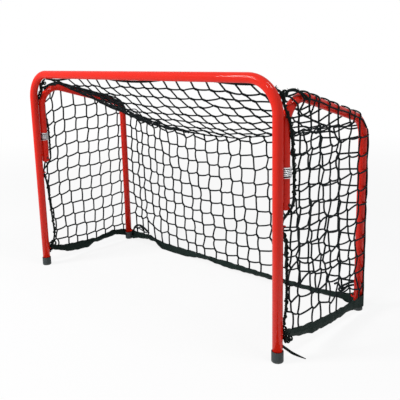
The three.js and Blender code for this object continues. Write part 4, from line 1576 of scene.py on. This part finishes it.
def rail_bundle():
    draw = random.Random(3)
    for k in range(BUNDLE_CORDS):
        share = k / (BUNDLE_CORDS - 1)
        in_front, at_rear = (
            low + (high - low) * share for low, high in (FRONT_DEGREES, REAR_DEGREES)
        )
        phase = draw.uniform(0, 6.3)
        start, stop = draw.uniform(28, 60), DEPTH - draw.uniform(4, 14)
        line = []
        for y in np.linspace(start, stop, BUNDLE_POINTS):
            spread = max(0, (y - SPREAD_FROM) / SPREAD_OVER)
            turn = in_front + (at_rear - in_front) * spread
            turn += STRAY_DEGREES * math.sin(y / 15 + phase)
            reach = ON_TUBE + 0.4 + STRAY_OUT * abs(math.sin(y / 24 + phase * 2))
            line.append(over_rail(-1, y, turn, reach))
        yield smoothed(line, 4)


for line in rail_bundle():
    side_nets[-1].lay(line, NET_R * 1.05)
line = [over_rail(1, y, -8 + 5 * math.sin(y / 17)) for y in range(75, 331, 15)]
side_nets[1].lay(smoothed(line, 5), NET_R)
print("Cords on the left rail:", BUNDLE_CORDS)


# %% [markdown]
# The selvedge beside the left sleeve is a cord of its own, from the upper hook up to the
# corner.

# %% Selvedge, and the finished side nets
selvedge = [front_end(-1, z) for z in range(300, 548, 20)]
selvedge += [np.array((-432, 20, 562)), np.array((-420, 16, 570))]
side_nets[-1].lay(smoothed(selvedge, 5), NET_R * 1.2, 8)
for side, sign in SIDES:
    side_nets[sign].make(f"side_net_{side}", NET_CORD, f"{side}_side", f"net_side_{side}")


# %% [markdown]
# ### Border ropes
# A rope of three laid strands ties the net to the front frame. It runs through the hooks
# on the crossbar and the posts. A thin lashing is wound round it where the net's edge is
# bound on, and a knot sits in each upper corner and at the right foot.

# %% Knots and tufts
ROPE_R, ROPE_LAY = 3.0, 13
LASH_OUT, LASH_R, LASH_PITCH = 3.3, 1.35, 14
TREFOILS = (  # rope, middle, size, turns about X and Z, cord
    ("left", (-409, 17, 561), 2.6, (0.4, 0.3), 1.9),
    ("left", (-443, 27, 58), 4.6, (1.2, 0.4), 2.7),
    ("left", (-440, 19, 50), 3.6, (0.6, 1.3), 2.4),
    ("right", (438, 19, 556), 3.0, (1.1, 0.5), 2.2),
    ("right", (446, 17, 51), 3.5, (1.4, 0.2), 2.4),
    ("right", (443, 18, 64), 2.8, (0.9, 1.4), 2.0),
    ("right", (448, 27, 43), 2.8, (0.3, 0.7), 2.0),
)
LOOSE_CORDS = (  # rope, cord, route
    ("left", 2.2, (
        (-430, 17, 568), (-421, 17, 557), (-416, 16.5, 543), (-426, 16, 528), (-438, 17, 515),
    )),
    ("left", 1.9, ((-420, 18, 549), (-412, 24, 553), (-398, 34, 556), (-379, 40, 556))),
    ("right", 2.4, (
        (440, 18, 556), (440, 34, 563), (442, 50, 564), (448, 64, 557), (452, 78, 548),
        (453, 88, 538),
    )),
)
TUFTS = (  # rope, root, direction, ends, their length, seed
    ("right", (421, 18, 566), (0.2, -0.1, 1), 9, 10, 21),
    ("right", (438, 20, 558), (0.1, 0, 1), 9, 10, 22),
    ("right", (440, 34, 563), (0.1, -0.1, 1), 5, 7, 23),
    ("right", (442, 48, 564), (0.1, -0.1, 1), 5, 7, 24),
    ("right", (446, 58, 561), (0.1, -0.1, 1), 5, 7, 25),
    ("right", (449, 68, 555), (0.1, -0.1, 1), 5, 7, 26),
    ("left", (-408, 16, 562), (0.7, 0.2, -0.3), 6, 9, 24),
)


def trefoil(at, size, turn):
    """The closed line of an overhand knot."""
    line = []
    for t in np.linspace(0, 2 * np.pi, 49):
        x, y = math.sin(t) + 2 * math.sin(2 * t), math.cos(t) - 2 * math.cos(2 * t)
        line.append(Vector((x, y, -math.sin(3 * t))) * size)
    spin = Matrix.Rotation(turn[0], 3, "X") @ Matrix.Rotation(turn[1], 3, "Z")
    return np.array([spin @ p for p in line]) + at


def tuft(skein, at, way, count, length, seed):
    """Frayed ends that stick out of a knot."""
    draw = random.Random(seed)
    for _ in range(count):
        aim = unit(np.array(way) + [draw.gauss(0, 0.45) for _ in range(3)])
        far = length * draw.uniform(0.5, 1)
        droop = np.array((0, 0, -0.12 * far))
        line = smoothed([at, at + aim * far * 0.5, at + aim * far + droop], 2)
        skein.lay(line, np.linspace(0.8, 0.35, len(line)), 5)


# %% The ropes
def rope(route, *lashings):
    """A rope with lashings, each from one height to another with a shift and a seed."""
    skein = Skein()
    line = smoothed(route, 1.6)
    skein.twist(line, ROPE_R, ROPE_LAY)
    for low, high, shift, seed in lashings:
        part = line[(line[:, 2] >= low) & (line[:, 2] <= high)]
        skein.wind(part[::2], LASH_OUT, LASH_R, LASH_PITCH, shift, seed)
    return skein


ropes = {
    "top": rope(TOP_ROPE),
    "left": rope(LEFT_ROPE, (44, 285, (0, 1.7, 0), 3), (345, 560, (0, 0, 0), 4)),
    "right": rope(RIGHT_ROPE, (44, 285, (0, 1.7, 0), 5), (330, 560, (1, 1, 0), 6)),
}
for (side, sign), rows in zip(SIDES, (range(1, 7), range(1, 14))):
    for n in rows:
        at = front_end(sign, row_height(sign, 30, n)) - (sign * 1.6, 1.5, 0)
        if at[2] < ROPE_TURN:
            ropes[side].tie(at, (0, 0, 1), (1, 0, 0), 2.1)
for name, middle, size, turn, radius in TREFOILS:
    ropes[name].lay(trefoil(middle, size, turn), radius, 8)
for name, radius, route in LOOSE_CORDS:
    ropes[name].lay(smoothed(route, 3), radius, 8)
for name, root, *ends in TUFTS:
    tuft(ropes[name], np.array(root), *ends)
for name, skein in ropes.items():
    skein.make(f"laid_rope_{name}", ROPE_CORD, "front_frame", f"border_rope_{name}")


# %% [markdown]
# ## The hem
# A woven band is sewn along the net's lower edge. It stands up at the feet, and between
# them it rolls over or lies on the floor, so each station says how far it folds and leans.
# The band keeps its 30 mm width while it does, as cloth does.

# %% Bands of webbing
HEM_WIDTH, HEM_STEPS, HEM_THICK = 30, 10, 1.2
ROLL_SHARPNESS, LOWEST = 14, 0.9  # of a fold, and of the band's middle over the floor
HEM_OUT, SIDE_OUT = 13.6, 13.4  # behind the legs and outside the rails
HEM_STEP, CORNER_STEPS = 4.5, 5
SIDE_HEM = {  # y: (fold, lean in degrees)
    -1: (
        (8, 0.55, 25), (50, 0.5, 12), (87, 0.4, 5), (153, 0.35, 5), (197, 0.75, 30),
        (250, 0.6, 12), (300, 0.55, 0), (336, 0.3, 0),
    ),
    1: ((8, 0.75, 20), (47, 0.25, 6), (121, 0.1, 0), (202, 0.1, 3), (289, 0.2, 0), (336, 0.0, 0)),
}
BACK_HEM = (
    (-439, 0.2, 0), (-400, 0.45, 5), (-348, 0.65, 10), (-304, 0.5, 75), (-255, 0.45, 10),
    (-203, 0.4, 15), (-153, 0.45, 10), (-71, 0.55, 55), (7, 0.5, 22), (125, 0.55, 45),
    (200, 0.55, 55), (266, 0.6, 58), (326, 0.6, 50), (400, 0.5, 25), (439, 0.0, 0),
)


def band(name, stations):
    """A band hung from its top edge. A station is a place, the way in, and (fold, lean)."""
    rings = []
    step = HEM_WIDTH / HEM_STEPS
    for top, way, (fold, lean) in stations:
        at = np.array(top, float)
        ring = [at]
        for q in range(HEM_STEPS):
            share = (q + 0.5) / HEM_STEPS
            turned = 1 / (1 + math.exp((0.5 - share) * ROLL_SHARPNESS))
            heading = math.radians(lean) + fold * math.pi * turned
            down, inward = np.array((0, 0, -1)), np.array(way)
            at = at + step * (down * math.cos(heading) + inward * math.sin(heading))
            at[2] = max(at[2], LOWEST)
            ring.append(at)
        rings.append(ring)
    run = run_of([top for top, _, _ in stations])
    points = np.array(rings).reshape(-1, 3)
    piece = mesh_piece(name, points, *skin(run, HEM_STEPS, HEM_STEPS + 1))
    finish_with(piece, "SOLIDIFY", thickness=HEM_THICK * MM, offset=0)
    return piece, float(run[-1])


def between(folds, at):
    return tuple(table([(fold[0], fold[k]) for fold in folds], at) for k in (1, 2))


def pucker(at):
    return math.sin(at / 9) + 0.6 * math.sin(at / 4.3 + 1)


def leg_height(sign):
    return table(HEM_TOP[sign], DEPTH + 10)


def round_leg(sign, eighths, folds):
    """A station of the hem on the curve round a rear leg, in eighths of a turn from the side."""
    turn = eighths * math.pi / 4
    away, back = math.cos(turn), math.sin(turn)
    top = (sign * (POST_X + HEM_OUT * away), DEPTH + HEM_OUT * back, leg_height(sign))
    return top, (-sign * away, -back, 0), folds


# %% The hems
def side_stations(sign):
    for y in np.arange(12, DEPTH + 1, HEM_STEP):
        x = sign * (POST_X + SIDE_OUT + 0.5 * pucker(y))
        z = table(HEM_TOP[sign], y) + 0.8 * pucker(y * 1.3)
        yield (x, y, z), (-sign, 0, 0), between(SIDE_HEM[sign], y)
    for k in range(1, CORNER_STEPS + 1):
        yield round_leg(sign, k / CORNER_STEPS, between(SIDE_HEM[sign], DEPTH))


def back_stations(sign):
    for k in range(CORNER_STEPS + 1):
        yield round_leg(sign, 1 + k / CORNER_STEPS, between(BACK_HEM, sign * POST_X))
    for x in (*np.arange(POST_X - 6, -0.1, -HEM_STEP), 0):
        mixed = min(1, (POST_X - x) / 30)
        z = table(BACK_HEM_TOP, sign * x) * mixed + leg_height(sign) * (1 - mixed)
        top = (sign * x, DEPTH + HEM_OUT + 0.5 * pucker(x), z + 0.8 * pucker(x * 1.2 + 5))
        yield top, (0, -1, 0), between(BACK_HEM, sign * x)


for kind, stations in (("side", side_stations), ("back", back_stations)):
    for side, sign in SIDES:
        piece, length = band(f"{kind}_hem_{side}", list(stations(sign)))
        if kind == "side":
            dress(piece, WEBBING, f"{side}_side", f"hem_side_{side}")
        else:
            dress(piece, WEBBING, None, "hem_back")
            follow_fold(piece, side, sign)
        print(piece.name, "is", round(length), "mm long")


# %% [markdown]
# ## Floor and light
# The photograph has a white studio ground. The floor is pale and keeps a faint shadow, and
# Light Path makes it and the world white only for the camera and for reflections, so that
# the light on the goal stays plain.

# %% Floor and world
FLOOR_SIZE = 60
FLOOR_WHITE, WHITE = (0.95, 0.95, 0.95, 1), (1, 1, 1, 1)
LEAST_WHITE = 0.86  # how white the floor looks near the goal; the rest is its shaded colour
NEAR, FAR = 0.9, 3.2  # metres from the goal, where the floor begins to turn quite white and ends


def studio_floor():
    clear_selection()
    bpy.ops.mesh.primitive_plane_add(size=FLOOR_SIZE, location=(0, 0, 0))
    floor = bpy.context.object
    floor.name = "studio_floor"
    b = Bench("studio_white")
    away = b.add("ShaderNodeVectorMath", {"operation": "LENGTH"}, b.objects(), out=1)
    matt = b.add("ShaderNodeBsdfDiffuse", {}, Color=FLOOR_WHITE)
    white = b.add("ShaderNodeEmission", {}, Color=WHITE, Strength=1.0)
    clear = away.above(NEAR, FAR - NEAR) * (1 - LEAST_WHITE) + LEAST_WHITE
    mixed = b.add("ShaderNodeMixShader", {}, b.seen() * clear, matt, white)
    b.add("ShaderNodeOutputMaterial", {}, mixed)
    floor.data.materials.append(b.made)


def studio_world():
    b = Bench("studio_world", world=True)
    plain = b.add("ShaderNodeBackground", {}, Color=(0.9, 0.95, 1.0, 1), Strength=0.18)
    white = b.add("ShaderNodeBackground", {}, Color=WHITE, Strength=1.0)
    b.add("ShaderNodeOutputWorld", {}, b.add("ShaderNodeMixShader", {}, b.seen(), plain, white))
    bpy.context.scene.world = b.made


studio_floor()
studio_world()
print("The world is", bpy.context.scene.world.name)


# %% [markdown]
# The key lamp stands high at the left, so the tubes darken to the right. One in front and
# one above draw the bright streaks on their bends.

# %% Lamps
LAMPS = (  # name, place in metres, size, power
    ("key_lamp", (-1.6, -2.8, 2.0), 1.0, 100),
    ("front_lamp", (0.63, -2.28, 2.47), 0.4, 10),
    ("top_lamp", (1.3, 0.0, 2.9), 0.9, 30),
)
LAMP_AIM = Vector((0, 0, 0.25))
for name, spot, size, power in LAMPS:
    clear_selection()
    bpy.ops.object.light_add(type="AREA", location=spot)
    lamp = bpy.context.object
    lamp.name = name
    lamp.data.size, lamp.data.energy = size, power
    lamp.rotation_euler = (LAMP_AIM - Vector(spot)).to_track_quat("-Z", "Y").to_euler()
bpy.context.scene.view_settings.view_transform = "Standard"
print("Lamps:", [lamp[0] for lamp in LAMPS])
